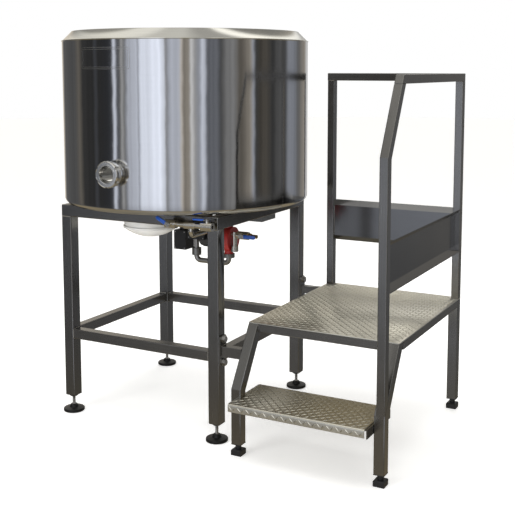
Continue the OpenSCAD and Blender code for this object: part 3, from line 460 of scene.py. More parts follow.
# %% Dress the parts
DRESS = {
    vessel_steel: ["inner_vessel", "jacket_shell"],
    base_steel: ["base_plate"],
    foam_yellow: ["insulation"],
    rubber_black: ["support_pads", "outlet_gasket", "foot_pad_1", "foot_pad_2", "foot_pad_3", "foot_pad_4"],
    fitting_steel: ["outlet_pipe", "outlet_liner", "outlet_nut", "temp_probe"],
    bolt_steel: ["heating_element", "pump_rotor", "foot_spindle_1", "foot_spindle_2", "foot_spindle_3",
                 "foot_spindle_4", "link_bolts", "lever_fill", "lever_drain", "lever_blowdown"],
    black_plastic: ["heater_box", "pump_terminal_box", "leg_caps", "tube_inserts",
                    "stair_foot_1", "stair_foot_2", "stair_foot_3"],
    tank_white: ["expansion_vessel"],
    box_grey: ["wiring_box"],
    pump_red: ["pump_volute"],
    motor_black: ["pump_motor"],
    galvanised: ["union_nuts"],
    pipe_dull: ["flow_pipe", "return_pipe"],
    nickel: ["fill_manifold", "valve_bodies", "drain_tee"],
    brass: ["hose_nozzle"],
    panel_steel: ["rear_panel", "side_panel"],
    shell_steel: ["outer_shell"],
    rim_steel: ["rim_cone"],
    plate_steel: ["deck_plate", "step_tread"],
    tube_y: ["step_brackets", "link_rail", "top_rails", "sloped_rail"],
    tube_x: ["lower_rails", "top_beams", "deck_frame"],
    tube_up: ["stand_legs", "stringer_left", "stringer_right", "rear_leg", "guard_posts"],
}
for material, names in DRESS.items():
    for name in names:
        for place in NODES[name].material_slots:
            place.material = material
dressed = {n for names in DRESS.values() for n in names}
print("dressed:", len(dressed), "left:", sorted(set(NODES) - dressed))


# %% [markdown]
# ## Making pieces
# A few small helpers make most of the new pieces: one turns a profile about an axis, one builds a mesh from
# lists, and one hands a finished piece to the body it moves with.

# %% Piece helpers
def mesh_piece(name, verts, faces, material, smooth=35):
    mesh = bpy.data.meshes.new(name)
    mesh.from_pydata([tuple(v) for v in verts], [], faces)
    mesh.update()
    bm = bmesh.new()
    bm.from_mesh(mesh)
    bmesh.ops.recalc_face_normals(bm, faces=bm.faces)
    bm.to_mesh(mesh)
    bm.free()
    mesh.shade_smooth()
    mesh.set_sharp_from_angle(angle=math.radians(smooth))
    piece = bpy.data.objects.new(name, mesh)
    piece.data.materials.append(material)
    bpy.context.scene.collection.objects.link(piece)
    return piece


def hand_over(piece, body=ROOT, instead=()):
    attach(piece, body)
    if instead:
        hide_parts(*instead)
    return piece


print("each piece rides on", ROOT, "unless told otherwise")


# %% Turning and measuring
def turned(profile, segments, closed=True):
    """Verts and faces of a profile of (radius, height) turned about Z."""
    verts, faces, n = [], [], len(profile)
    for s in range(segments):
        a = 2 * math.pi * s / segments
        verts += [(r * math.cos(a), r * math.sin(a), z) for r, z in profile]
    for s in range(segments):
        t = (s + 1) % segments
        for i in range(n if closed else n - 1):
            j = (i + 1) % n
            faces.append((s * n + i, t * n + i, t * n + j, s * n + j))
    return verts, faces


def middle(node):
    low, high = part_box(node)
    return (low + high) / 2


print("the vat's middle:", [round(v, 3) for v in middle("inner_vessel")])

# %% [markdown]
# ## Rounded tubes
# A rolled square tube has corners of about its own wall's radius, and that soft line of light along every
# corner is what makes it read as tube and not as a block. Modelling it again would be slow: a copy of each
# solid gets a bevel on its long outer corners only, so cut ends and mitres stay crisp.

# %% Round the long outer corners
SHORTEST_CORNER, SMALLEST_FACE = 0.03, 0.0018


def rounded_copy(node, radius, material):
    """A bevelled copy of a node's mesh, and how many corners it rounds. Cut ends have small faces."""
    source = NODES[node]
    bm = bmesh.new()
    bm.from_mesh(source.data)
    bmesh.ops.remove_doubles(bm, verts=bm.verts, dist=0.00002)
    bmesh.ops.dissolve_limit(bm, angle_limit=math.radians(1), verts=bm.verts, edges=bm.edges)
    weight = bm.edges.layers.float.new("bevel_weight_edge")
    count = 0
    for e in bm.edges:
        if len(e.link_faces) != 2 or e.calc_length() < SHORTEST_CORNER:
            continue
        sharp = e.calc_face_angle_signed(0) > math.radians(50)
        if sharp and min(f.calc_area() for f in e.link_faces) > SMALLEST_FACE:
            e[weight] = 1.0
            count += 1
    mesh = bpy.data.meshes.new(node + "_tube")
    bm.to_mesh(mesh)
    bm.free()
    piece = bpy.data.objects.new(node + "_tube", mesh)
    bpy.context.scene.collection.objects.link(piece)
    mesh.materials.clear()
    mesh.materials.append(material)
    mesh.shade_smooth()
    mesh.set_sharp_from_angle(angle=math.radians(35))
    rounding = piece.modifiers.new("rounding", "BEVEL")
    rounding.limit_method = "WEIGHT"
    rounding.width = radius
    rounding.segments = 3
    rounding.use_clamp_overlap = False
    rounding.harden_normals = True
    for polygon in mesh.polygons:
        polygon.material_index = 0
    return hand_over(piece, instead=(node,)), count


# %% Which way a rail runs
def lay_grain_by_run(piece, along_x, along_y):
    """Faces of rails that run along X take the first finish, and those along Y the second."""
    piece.data.materials.clear()
    piece.data.materials.append(along_x)
    piece.data.materials.append(along_y)
    low, high = [Vector(v) for v in (piece.bound_box[0], piece.bound_box[6])]
    centre, half = (low + high) / 2, (high - low) / 2
    for polygon in piece.data.polygons:
        c = polygon.center - centre
        polygon.material_index = 0 if abs(c.y) / half.y > abs(c.x) / half.x else 1


for node, radius, material, slot in (
        ("stand_legs", 0.0045, tube_up, "frame_steel"), ("top_beams", 0.0045, tube_x, "frame_steel"),
        ("lower_rails", 0.004, tube_x, "frame_steel"), ("stringer_left", 0.004, tube_up, "stair_steel"),
        ("stringer_right", 0.004, tube_up, "stair_steel"), ("rear_leg", 0.004, tube_up, "stair_steel"),
        ("deck_frame", 0.0035, tube_x, "stair_steel"), ("guard_posts", 0.0035, tube_up, "stair_steel"),
        ("top_rails", 0.0035, tube_y, "stair_steel"), ("sloped_rail", 0.0035, tube_up, "stair_steel"),
        ("link_rail", 0.0025, tube_y, "stair_steel")):
    piece, corners = rounded_copy(node, radius, material)
    if node in ("top_beams", "lower_rails", "deck_frame", "top_rails", "link_rail"):
        lay_grain_by_run(piece, tube_x, tube_y)
    print(node, "rounded corners:", corners)

# %% [markdown]
# ## The shell and its rim
# The drum and its sloping rim are the largest mirror in the scene, so any flat facet would show as a stripe.
# They are turned again from many more segments, and the outlet's hole is cut with a Boolean.

# %% Turn the shell
axis = middle("inner_vessel")
low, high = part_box("outer_shell")
shell_r = (high.x - low.x) / 2
shell_z0, shell_z1 = low.z, high.z
knuckle, sheet = 0.025, 0.002


def quarter(cr, cz, r, a0, a1, n):
    return [(cr + r * math.cos(math.radians(a0 + (a1 - a0) * i / n)),
             cz + r * math.sin(math.radians(a0 + (a1 - a0) * i / n))) for i in range(n + 1)]


profile = quarter(shell_r - knuckle, shell_z0 + knuckle, knuckle, -90, 0, 10)
rows = 24
straight = shell_z1 - shell_z0 - knuckle
profile += [(shell_r, shell_z0 + knuckle + straight * i / rows) for i in range(1, rows + 1)]
profile += [(shell_r - sheet, shell_z1)]
profile += quarter(shell_r - knuckle, shell_z0 + knuckle, knuckle - sheet, 0, -90, 10)
verts, faces = turned(profile, 256)
verts = [(x + axis.x, y + axis.y, z) for x, y, z in verts]
shell = mesh_piece("shell_drum", verts, faces, shell_steel)
print("shell faces:", len(faces))

# %% Cut the outlet's hole
pipe_low, pipe_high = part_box("outlet_pipe")
outlet = Vector(((pipe_low.x + pipe_high.x) / 2, 0, (pipe_low.z + pipe_high.z) / 2))
HOLE_R, CUT_REACH, SIDES = 0.0427, 0.15, 96
verts, faces = turned([(HOLE_R, -CUT_REACH), (HOLE_R, CUT_REACH)], SIDES, closed=False)
verts = [(x + outlet.x, z + pipe_low.y, y + outlet.z) for x, y, z in verts]
faces += [tuple(range(0, 2 * SIDES, 2))[::-1], tuple(range(1, 2 * SIDES, 2))]
cutter = mesh_piece("hole_cutter", verts, faces, shell_steel)
cut = shell.modifiers.new("hole", "BOOLEAN")
cut.operation = "DIFFERENCE"
cut.solver = "EXACT"
cut.object = cutter
bpy.context.view_layer.update()
result = bpy.data.meshes.new_from_object(shell.evaluated_get(bpy.context.evaluated_depsgraph_get()))
shell.modifiers.clear()
shell.data = result
bpy.data.objects.remove(cutter)
shell.data.shade_smooth()
shell.data.set_sharp_from_angle(angle=math.radians(35))
hand_over(shell, instead=("outer_shell",))
print("after the cut:", len(shell.data.polygons))

# %% [markdown]
# ### The etched frame
# Makers etch a framed mark high on the front of the drum. Only its plain frame is made here, with an empty
# field: a low ridge that follows the drum's curve, a third of a millimetre proud, so that it catches light.

# %% A line that follows the drum
def on_drum(u, w, lift):
    """A point on the drum: u metres round from the mark's middle, w above it."""
    a, r = mark_a + u / shell_r, shell_r + lift
    return Vector((axis.x + r * math.cos(a), axis.y + r * math.sin(a), mark_z + w))


def rounded_outline(half_w, half_h, r, n=8):
    points = []
    for cx, cy, a0 in ((1, 1, 0), (-1, 1, 90), (-1, -1, 180), (1, -1, 270)):
        for i in range(n + 1):
            a = math.radians(a0 + 90 * i / n)
            points.append((cx * (half_w - r) + r * math.cos(a), cy * (half_h - r) + r * math.sin(a)))
    full = []
    for k, p in enumerate(points):
        q = points[(k + 1) % len(points)]
        steps = max(1, int(math.hypot(q[0] - p[0], q[1] - p[1]) / 0.01))
        full += [(p[0] + (q[0] - p[0]) * i / steps, p[1] + (q[1] - p[1]) * i / steps) for i in range(steps)]
    return full


print("points round a small outline:", len(rounded_outline(0.05, 0.05, 0.01)))

# %% Etched frame
mark_a, mark_z = math.radians(-95), shell_z1 - 0.087
RIDGE, RIDGE_FOOT, LINE_HALF = 0.0003, 0.00004, 0.0011
etched_steel = finish("etched_steel", (0.50, 0.50, 0.49), 1.0, 0.42, (300, 300, 300), 0.4, 0.4, 0.2, 20.0)
verts, faces = [], []
for half_w, half_h, r in ((0.150, 0.050, 0.012), (0.1415, 0.0415, 0.006)):
    base = len(verts)
    inner, outer = [rounded_outline(half_w + d, half_h + d, r + d) for d in (-LINE_HALF, LINE_HALF)]
    count = min(len(inner), len(outer))
    for k in range(count):
        (u0, w0), (u1, w1) = inner[k], outer[k * len(outer) // count]
        crest = on_drum((u0 + u1) / 2, (w0 + w1) / 2, RIDGE)
        verts += [on_drum(u0, w0, RIDGE_FOOT), crest, on_drum(u1, w1, RIDGE_FOOT)]
    for k in range(count):
        a, b = base + 3 * k, base + 3 * ((k + 1) % count)
        faces += [(a, b, b + 1, a + 1), (a + 1, b + 1, b + 2, a + 2)]
mark = mesh_piece("etched_frame", verts, faces, etched_steel, smooth=80)
hand_over(mark)
print("etched frame faces:", len(faces))

# %% Turn the rim
rim_z1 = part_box("rim_cone")[1].z
inner_low, inner_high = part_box("inner_vessel")
mouth_r = (inner_high.x - inner_low.x) / 2
bead = 0.003
profile = quarter(shell_r - 0.0005, shell_z1 + bead, bead, -80, 120, 12)
profile += [(shell_r - 0.004, shell_z1 + 0.0065), (mouth_r + 0.0055, rim_z1 - 0.0035)]
profile += quarter(mouth_r + 0.0022, rim_z1 - 0.003, 0.003, 45, 175, 8)
profile += [(mouth_r + 0.0003, rim_z1 - 0.014), (mouth_r + 0.0024, rim_z1 - 0.014)]
profile += [(mouth_r + 0.0026, rim_z1 - 0.007), (shell_r - 0.005, shell_z1 + 0.002)]
verts, faces = turned(profile, 256)
verts = [(x + axis.x, y + axis.y, z) for x, y, z in verts]
rim = mesh_piece("rim_ring", verts, faces, rim_steel, smooth=28)
hand_over(rim, instead=("rim_cone",))
print("rim faces:", len(faces))

# %% [markdown]
# ## Chequer plate
# The walking surfaces are rolled with raised bars, each leaning the other way from its neighbours. At this
# size the bars catch the light one by one, so they are modelled: a low lens with a flat top, set out in rows.

# %% One raised bar
BAR_L, BAR_W, BAR_H, PITCH = 0.0270, 0.0074, 0.0018, 0.0215


def raised_bar(centre, along, across, up):
    """A low lens with a flat top: six points round its foot and six round its crown."""
    foot = [(-0.5, 0), (-0.28, 0.42), (0.28, 0.42), (0.5, 0), (0.28, -0.42), (-0.28, -0.42)]
    crown = [(-0.34, 0), (-0.16, 0.16), (0.16, 0.16), (0.34, 0), (0.16, -0.16), (-0.16, -0.16)]
    verts = [centre + along * (u * BAR_L) + across * (v * BAR_W) for u, v in foot]
    verts += [centre + along * (u * BAR_L) + across * (v * BAR_W) + up * BAR_H for u, v in crown]
    faces = [(i, (i + 1) % 6, 6 + (i + 1) % 6, 6 + i) for i in range(6)] + [(6, 7, 8, 9, 10, 11)]
    return verts, faces


def bars_on(origin, u_dir, v_dir, u_len, v_len, keep=lambda p: True):
    """Bars in rows on a flat rectangle, every second one turned the other way."""
    up = u_dir.cross(v_dir).normalized()
    verts, faces = [], []
    nu, nv = int(u_len / PITCH), int(v_len / PITCH)
    du, dv = u_len / nu, v_len / nv
    for i in range(nu):
        for j in range(nv):
            centre = origin + u_dir * (du * (i + 0.5)) + v_dir * (dv * (j + 0.5))
            if not keep(centre):
                continue
            lean = math.radians(45 if (i + j) % 2 else -45)
            along = u_dir * math.cos(lean) + v_dir * math.sin(lean)
            across = up.cross(along)
            bar_verts, bar_faces = raised_bar(centre, along, across, up)
            shift = len(verts)
            verts += bar_verts
            faces += [tuple(k + shift for k in f) for f in bar_faces]
    return verts, faces


print("bar:", BAR_L, "m long")

# %% The deck
low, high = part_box("deck_plate")
X, Y, Z = Vector((1, 0, 0)), Vector((0, 1, 0)), Vector((0, 0, 1))
POST, BAR_CLEAR = 0.04, 0.012
post_low = [Vector((low.x, high.y - POST, 0)), Vector((high.x - POST, high.y - POST, 0))]


def near_post(p, q):
    reach = POST + BAR_CLEAR
    return q.x - BAR_CLEAR < p.x < q.x + reach and q.y - BAR_CLEAR < p.y < q.y + reach


def clear_of_posts(p):
    return not any(near_post(p, q) for q in post_low)


soft = 0.0012
plate_verts = []
for z, inset in ((low.z, 0), (high.z - soft, 0), (high.z, soft)):
    plate_verts += [Vector((low.x + inset, low.y + inset, z)), Vector((high.x - inset, low.y + inset, z)),
                    Vector((high.x - inset, high.y - inset, z)), Vector((low.x + inset, high.y - inset, z))]
plate_faces = [(3, 2, 1, 0), (8, 9, 10, 11)]
for ring in (0, 4):
    plate_faces += [(ring + i, ring + (i + 1) % 4, ring + 4 + (i + 1) % 4, ring + 4 + i) for i in range(4)]
border = 0.006
bar_verts, bar_faces = bars_on(Vector((low.x + border, low.y + border, high.z)), X, Y,
                               high.x - low.x - 2 * border, high.y - low.y - 2 * border, clear_of_posts)
shift = len(plate_verts)
deck = mesh_piece("deck_chequer", plate_verts + bar_verts,
                  plate_faces + [tuple(k + shift for k in f) for f in bar_faces], plate_steel, smooth=50)
hand_over(deck, instead=("deck_plate",))
print("bars on the deck:", len(bar_faces) // 7)

# %% The step's bent section
low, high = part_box("step_tread")
stringer_low, stringer_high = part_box("stringer_left")
thick, bend, back_drop = 0.004, 0.010, 0.0185
y0, y1, top, lip = low.y, high.y, high.z, low.z


def step_outline(offset):
    line = [(y0 + offset, lip)]
    for i in range(7):
        a = math.radians(180 - 15 * i)
        line.append((y0 + bend + (bend - offset) * math.cos(a), top - bend + (bend - offset) * math.sin(a)))
    line.append((y1 - offset, top - offset))
    line.append((y1 - offset, top - back_drop))
    return line


outline = step_outline(0) + step_outline(thick)[::-1]
verts = [(x, y, z) for x in (low.x, high.x) for y, z in outline]
n = len(outline)
faces = [(i, (i + 1) % n, n + (i + 1) % n, n + i) for i in range(n)]
faces += [tuple(range(n)), tuple(range(2 * n - 1, n - 1, -1))]
step = mesh_piece("step_chequer", verts, faces, plate_steel, smooth=40)
print("points in the section:", n)

# %% Notch for the left stringer
STRINGER, NOTCH_GAP = 0.05, 0.001
notch_x = stringer_high.x + NOTCH_GAP
notch_y0, notch_y1 = stringer_low.y - NOTCH_GAP, stringer_low.y + STRINGER + NOTCH_GAP
box_verts = [(x, y, z) for x in (low.x - 0.02, notch_x) for y in (notch_y0, notch_y1)
             for z in (lip - 0.01, top + 0.01)]
box_faces = [(0, 1, 3, 2), (4, 6, 7, 5), (0, 4, 5, 1), (2, 3, 7, 6), (0, 2, 6, 4), (1, 5, 7, 3)]
cutter = mesh_piece("notch_cutter", box_verts, box_faces, plate_steel)
cut = step.modifiers.new("notch", "BOOLEAN")
cut.solver = "EXACT"
cut.object = cutter
bpy.context.view_layer.update()
step.data = bpy.data.meshes.new_from_object(step.evaluated_get(bpy.context.evaluated_depsgraph_get()))
step.modifiers.clear()
bpy.data.objects.remove(cutter)
print("step faces:", len(step.data.polygons))


# %% Bars on the step
def clear_of_notch(p):
    return not (p.x < notch_x + BAR_CLEAR and notch_y0 - BAR_CLEAR < p.y < notch_y1 + BAR_CLEAR)


top_verts, top_faces = bars_on(Vector((low.x + 0.002, y0 + bend, top)), X, Y, high.x - low.x - 0.004,
                               y1 - y0 - bend - 0.002, clear_of_notch)
lip_verts, lip_faces = bars_on(Vector((low.x + 0.002, y0, lip + 0.002)), X, Z, high.x - low.x - 0.004,
                               top - lip - bend)
bm = bmesh.new()
bm.from_mesh(step.data)
for bar_verts, bar_faces in ((top_verts, top_faces), (lip_verts, lip_faces)):
    made = [bm.verts.new(v) for v in bar_verts]
    for f in bar_faces:
        bm.faces.new([made[k] for k in f])
bmesh.ops.recalc_face_normals(bm, faces=bm.faces)
bm.to_mesh(step.data)
bm.free()
step.data.shade_smooth()
step.data.set_sharp_from_angle(angle=math.radians(50))
hand_over(step, instead=("step_tread",))
print("bars on the step:", len(top_faces) // 7 + len(lip_faces) // 7)

# %% [markdown]
# ## The outlet's round nut
# A dairy nut is turned from bar, with slots milled across its rim for a hook spanner. Its section is turned
# about the outlet, and wherever a slot falls the outer radius is let down to the slot's floor.

# %% Slotted nut
low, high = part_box("outlet_nut")
nut_c = (low + high) / 2
R, L = (high.x - low.x) / 2, high.y - low.y
SLOTS, SLOT_W, SLOT_D = 6, 0.014, 0.007
bore, seat, step_at = 0.0426, 0.0501, 0.0088
slot_edge = 0.002
profile = [(bore, 0.001), (bore + 0.001, 0), (bore + 0.0045, 0), (bore + 0.0055, 0.0012),
           (R - 0.0052, 0.0012), (R - 0.004, 0), (R - 0.0022, 0.0008), (R - 0.0005, 0.003), (R, 0.005),
           (R, L - 0.004), (R - 0.001, L - 0.0015), (R - 0.003, L), (seat + 0.002, L), (seat, L - 0.0015),
           (seat, step_at), (bore, step_at)]
segs = 240
verts, faces, n = [], [], len(profile)
for s in range(segs):
    a = 2 * math.pi * s / segs
    nearest = (a + math.pi / SLOTS) % (2 * math.pi / SLOTS) - math.pi / SLOTS
    gap = abs(R * math.sin(nearest))
    for r, d in profile:
        if gap < SLOT_W / 2 and r > R - SLOT_D:
            depth = SLOT_D * min(1.0, (SLOT_W / 2 - gap) / slot_edge)
            r = max(min(r, R - depth), R - SLOT_D)
        verts.append((nut_c.x + r * math.sin(a), low.y + d, nut_c.z + r * math.cos(a)))
for s in range(segs):
    t = (s + 1) % segs
    faces += [(s * n + i, t * n + i, t * n + (i + 1) % n, s * n + (i + 1) % n) for i in range(n)]
nut = mesh_piece("round_nut", verts, faces, fitting_steel, smooth=30)
hand_over(nut, body="outlet_nut", instead=("outlet_nut",))
print("nut radius:", round(R, 4))

# %% [markdown]
# ## Threads on the feet
# A levelling foot is mostly its screw. A true helix is drawn by letting the radius rise and fall with both
# the angle and the height, so the ridges climb 2 mm in each turn.

# %% A threaded rod
THREAD_DEPTH, THREAD_PITCH, BALL_R = 0.0011, 0.002, 0.0099


def threaded_rod(name, centre, radius, z0, z1, pitch, material, segments=24):
    rows = int((z1 - z0) / (pitch / 6))
    verts, faces = [], []
    for row in range(rows + 1):
        z = z0 + (z1 - z0) * row / rows
        for s in range(segments):
            a = 2 * math.pi * s / segments
            phase = (z / pitch - a / (2 * math.pi)) % 1.0
            r = radius - THREAD_DEPTH * abs(2 * phase - 1)
            verts.append((centre.x + r * math.cos(a), centre.y + r * math.sin(a), z))
    for row in range(rows):
        for s in range(segments):
            t = (s + 1) % segments
            b = row * segments
            faces.append((b + s, b + t, b + segments + t, b + segments + s))
    faces += [tuple(range(segments))[::-1], tuple(range(rows * segments, (rows + 1) * segments))]
    return mesh_piece(name, verts, faces, material, smooth=60)


print("thread pitch:", THREAD_PITCH, "m")

# %% The four spindles, each with its ball
for i in range(1, 5):
    node = f"foot_spindle_{i}"
    low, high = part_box(node)
    c = (low + high) / 2
    ball_verts, ball_faces = turned([(0.0001, -0.01)] + quarter(0, 0, BALL_R, -80, 36, 10), 24, closed=False)
    rod = threaded_rod(f"foot_screw_{i}", c, 0.0079, low.z + 0.016, high.z, THREAD_PITCH, bolt_steel)
    bm = bmesh.new()
    bm.from_mesh(rod.data)
    made = [bm.verts.new((x + c.x, y + c.y, z + low.z + 0.01)) for x, y, z in ball_verts]
    for f in ball_faces:
        bm.faces.new([made[k] for k in f])
    bm.to_mesh(rod.data)
    bm.free()
    hand_over(rod, body=f"spindle_{i}", instead=(node,))
print("threaded spindles: 4")

# %% [markdown]
# ## Bolts
# A forged bolt head has its corners turned off, and a washer has a slight rolled edge. A convex hull round
# the right points gives that chamfered head in one step.

# %% One bolt head
def hex_head(centre, radius, height, direction=1):
    apothem = radius * math.cos(math.pi / 6)
    bm = bmesh.new()
    for k in range(6):
        a = math.pi / 3 * k
        for d in (0.0006, height - 0.0022):
            bm.verts.new(centre + Vector((direction * d, radius * math.cos(a), radius * math.sin(a))))
        a += math.pi / 6
        for d in (0.0, height - 0.0008):
            bm.verts.new(centre + Vector((direction * d, apothem * math.cos(a), apothem * math.sin(a))))
    for k in range(24):
        a = math.pi / 12 * k
        flat = 0.92 * apothem
        bm.verts.new(centre + Vector((direction * height, flat * math.cos(a), flat * math.sin(a))))
    bmesh.ops.convex_hull(bm, input=bm.verts)
    bmesh.ops.dissolve_limit(bm, angle_limit=math.radians(2), verts=bm.verts, edges=bm.edges)
    bm.verts.index_update()
    verts = [v.co.copy() for v in bm.verts]
    faces = [tuple(v.index for v in f.verts) for f in bm.faces]
    bm.free()
    return verts, faces


def add(verts, faces, more_verts, more_faces):
    shift = len(verts)
    verts += more_verts
    faces += [tuple(k + shift for k in f) for f in more_faces]


print("points on one bolt head:", len(hex_head(Vector(), 0.0173, 0.013)[0]))

# %% The link's bolts, washers and inserts
WASHER_T, HEAD_T, LEG = 0.003, 0.013, 0.06
plate_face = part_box("link_bolts")[1].x - WASHER_T - HEAD_T
legs_low, legs_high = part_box("stand_legs")
near_y, rear_y = legs_low.y + LEG / 2, legs_high.y - LEG / 2
BOLT_PLACES = [(near_y, 0.394), (near_y, 0.506), (rear_y, 0.398), (rear_y, 0.512), (rear_y, 0.618)]
verts, faces = [], []
for y, z in BOLT_PLACES:
    spot = Vector((plate_face, y, z))
    washer = [(0.0105, 0), (0.018, 0), (0.0185, 0.0006), (0.0185, 0.0024), (0.018, WASHER_T),
              (0.0105, WASHER_T)]
    wv, wf = turned(washer, 40)
    add(verts, faces, [spot + Vector((h, a, b)) for a, b, h in wv], wf)
    hv, hf = hex_head(spot + Vector((WASHER_T, 0, 0)), 0.0173, HEAD_T)
    add(verts, faces, hv, hf)
    shank = [(0.0001, -0.033), (0.0085, -0.033), (0.01, -0.031), (0.01, -0.027), (0.014, -0.027),
             (0.014, -0.0112), (0.01, -0.011), (0.01, 0.003)]
    sv, sf = turned(shank, 32, closed=False)
    add(verts, faces, [spot + Vector((h, a, b)) for a, b, h in sv], sf)
bolts = mesh_piece("link_bolt_set", verts, faces, bolt_steel, smooth=30)
hand_over(bolts, instead=("link_bolts",))
print("bolts:", len(BOLT_PLACES))

# %% [markdown]
# ## Welds
# The frame is TIG welded, which leaves a low bead of overlapping ripples. A bead is a thin tube whose
# radius pulses along its length, half sunk in the corner that it fills.

# %% Weld beads
def weld_bead(verts, faces, start, end, radius=0.0022, ripple=0.0028):
    start, end = Vector(start), Vector(end)
    run = end - start
    along = run.normalized()
    side = along.orthogonal().normalized()
    other = along.cross(side)
    rings = max(4, int(run.length / (ripple / 3)))
    base = len(verts)
    for k in range(rings + 1):
        pulse = 1.0 + 0.16 * math.cos(2 * math.pi * k / 3) + random.uniform(-0.05, 0.05)
        if k in (0, rings):
            pulse = 0.3
        for s in range(8):
            a = math.pi / 4 * s
            spoke = side * math.cos(a) + other * math.sin(a)
            verts.append(start + run * (k / rings) + spoke * radius * pulse)
    for k in range(rings):
        for s in range(8):
            t = (s + 1) % 8
            b = base + 8 * k
            faces.append((b + s, b + t, b + 8 + t, b + 8 + s))


def rectangle_weld(verts, faces, x0, x1, y0, y1, z):
    corners = [(x0, y0, z), (x1, y0, z), (x1, y1, z), (x0, y1, z)]
    for k in range(4):
        weld_bead(verts, faces, corners[k], corners[(k + 1) % 4])


print("weld helpers: a bead and a rectangle of beads")

# %% Welds on the stand
SUNK, THIN_BEAD = 0.0012, 0.0018
verts, faces = [], []
beam_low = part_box("top_beams")[0]
rail_low, rail_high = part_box("lower_rails")
for outer_x, to_x in ((legs_low.x, 1), (legs_high.x, -1)):
    for outer_y, to_y in ((legs_low.y, 1), (legs_high.y, -1)):
        x0 = min(outer_x, outer_x + to_x * LEG)
        y0 = min(outer_y, outer_y + to_y * LEG)
        rectangle_weld(verts, faces, x0 + 0.004, x0 + 0.056, y0 + 0.0004, y0 + 0.0596, beam_low.z)
        inner_x, inner_y = outer_x + to_x * LEG, outer_y + to_y * LEG
        z_a, z_b = rail_low.z + 0.003, rail_high.z - 0.003
        face_x, face_y = outer_x + to_x * SUNK, outer_y + to_y * SUNK
        weld_bead(verts, faces, (inner_x, face_y, z_a), (inner_x, face_y, z_b), THIN_BEAD)
        weld_bead(verts, faces, (face_x, inner_y, z_a), (face_x, inner_y, z_b), THIN_BEAD)
        x_a, x_b = min(outer_x, inner_x) + 0.004, max(outer_x, inner_x) - 0.012
        y_a, y_b = min(outer_y, inner_y) + 0.004, max(outer_y, inner_y) - 0.012
        for z in (rail_low.z, rail_high.z):
            weld_bead(verts, faces, (inner_x, y_a, z), (inner_x, y_b, z), THIN_BEAD)
            weld_bead(verts, faces, (x_a, inner_y, z), (x_b, inner_y, z), THIN_BEAD)
stand_welds = mesh_piece("stand_welds", verts, faces, weld_steel, smooth=60)
hand_over(stand_welds)
print("stand weld faces:", len(faces))

# %% Welds on the platform
verts, faces = [], []
deck_low, deck_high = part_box("deck_plate")
for x0 in (deck_low.x, deck_high.x - POST):
    rectangle_weld(verts, faces, x0 + 0.0025, x0 + 0.0375, deck_high.y - 0.0375, deck_high.y - 0.0025,
                   deck_high.z + 0.0008)
rails_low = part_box("top_rails")[0]
frame_low, frame_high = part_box("deck_frame")
for x0, x1 in ((deck_low.x, deck_low.x + POST), (deck_high.x - POST, deck_high.x)):
    for y in (deck_high.y, deck_high.y - POST):
        weld_bead(verts, faces, (x0 + 0.003, y, rails_low.z), (x1 - 0.003, y, rails_low.z), 0.0016)
for x in (deck_low.x + 0.05, deck_high.x - 0.05):
    weld_bead(verts, faces, (x, frame_low.y + 0.0014, frame_low.z + 0.003),
              (x, frame_low.y + 0.0014, frame_high.z - 0.003), 0.0017)
panel_low, panel_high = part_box("rear_panel")
side_low, side_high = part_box("side_panel")
for x in (panel_low.x, panel_high.x):
    weld_bead(verts, faces, (x, panel_low.y, panel_low.z + 0.03),
              (x, panel_low.y, panel_high.z - 0.03), 0.0014)
for y in (side_low.y, side_high.y):
    weld_bead(verts, faces, (side_low.x - 0.0002, y, side_low.z + 0.03),
              (side_low.x, y, side_high.z - 0.03), 0.0014)
link_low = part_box("link_rail")[0]
for z in (link_low.z + 0.044, link_low.z + 0.094):
    weld_bead(verts, faces, (link_low.x + 0.0085, near_y - 0.02, z),
              (link_low.x + 0.0085, near_y + 0.02, z), 0.002)
stair_welds = mesh_piece("platform_welds", verts, faces, weld_steel, smooth=60)
hand_over(stair_welds)
print("platform weld faces:", len(faces))

# %% The drum's long seam, at the rear
verts, faces = [], []
seam_x = 0.09
seam_y = axis.y + math.sqrt(shell_r ** 2 - seam_x ** 2) - 0.0011
weld_bead(verts, faces, (axis.x + seam_x, seam_y, shell_z0 + 0.03),
          (axis.x + seam_x, seam_y, shell_z1 - 0.001), 0.0019)
seam = mesh_piece("drum_seam", verts, faces, weld_steel, smooth=60)
hand_over(seam)
print("seam faces:", len(faces))

# %% [markdown]
# ## Valve levers
# A ball valve's lever is pressed steel dipped in soft plastic. The steel strip is already there, so only the
# dipped sleeve is added: a slab with a round end that lies close round the strip.

# %% Dipped sleeves
def sleeve(name, body, pivot, along, up, start, length, width, thick, level):
    """A slab from start to length along the lever, with a round far end and soft upper and lower edges."""
    along, up = Vector(along).normalized(), Vector(up).normalized()
    across = up.cross(along)
    outline = [(start, -width / 2), (length - width / 2, -width / 2)]
    for degrees in range(20, 180, 20):
        a = math.radians(degrees)
        outline.append((length - width / 2 + width / 2 * math.sin(a), -width / 2 * math.cos(a)))
    outline += [(length - width / 2, width / 2), (start, width / 2)]
    verts, faces, n = [], [], len(outline)
    middle_u = (start + length) / 2
    for h, shrink in ((-0.5, 0.82), (-0.3, 1.0), (0.3, 1.0), (0.5, 0.82)):
        for u, v in outline:
            uu = middle_u + (u - middle_u) * (1 - (1 - shrink) * 0.08)
            verts.append(Vector(pivot) + along * uu + across * (v * shrink) + up * (level + h * thick))
    for layer in range(3):
        b = layer * n
        faces += [(b + i, b + (i + 1) % n, b + n + (i + 1) % n, b + n + i) for i in range(n)]
    faces += [tuple(range(n))[::-1], tuple(range(3 * n, 4 * n))]
    piece = mesh_piece(name, verts, faces, lever_blue, smooth=60)
    return hand_over(piece, body=body)


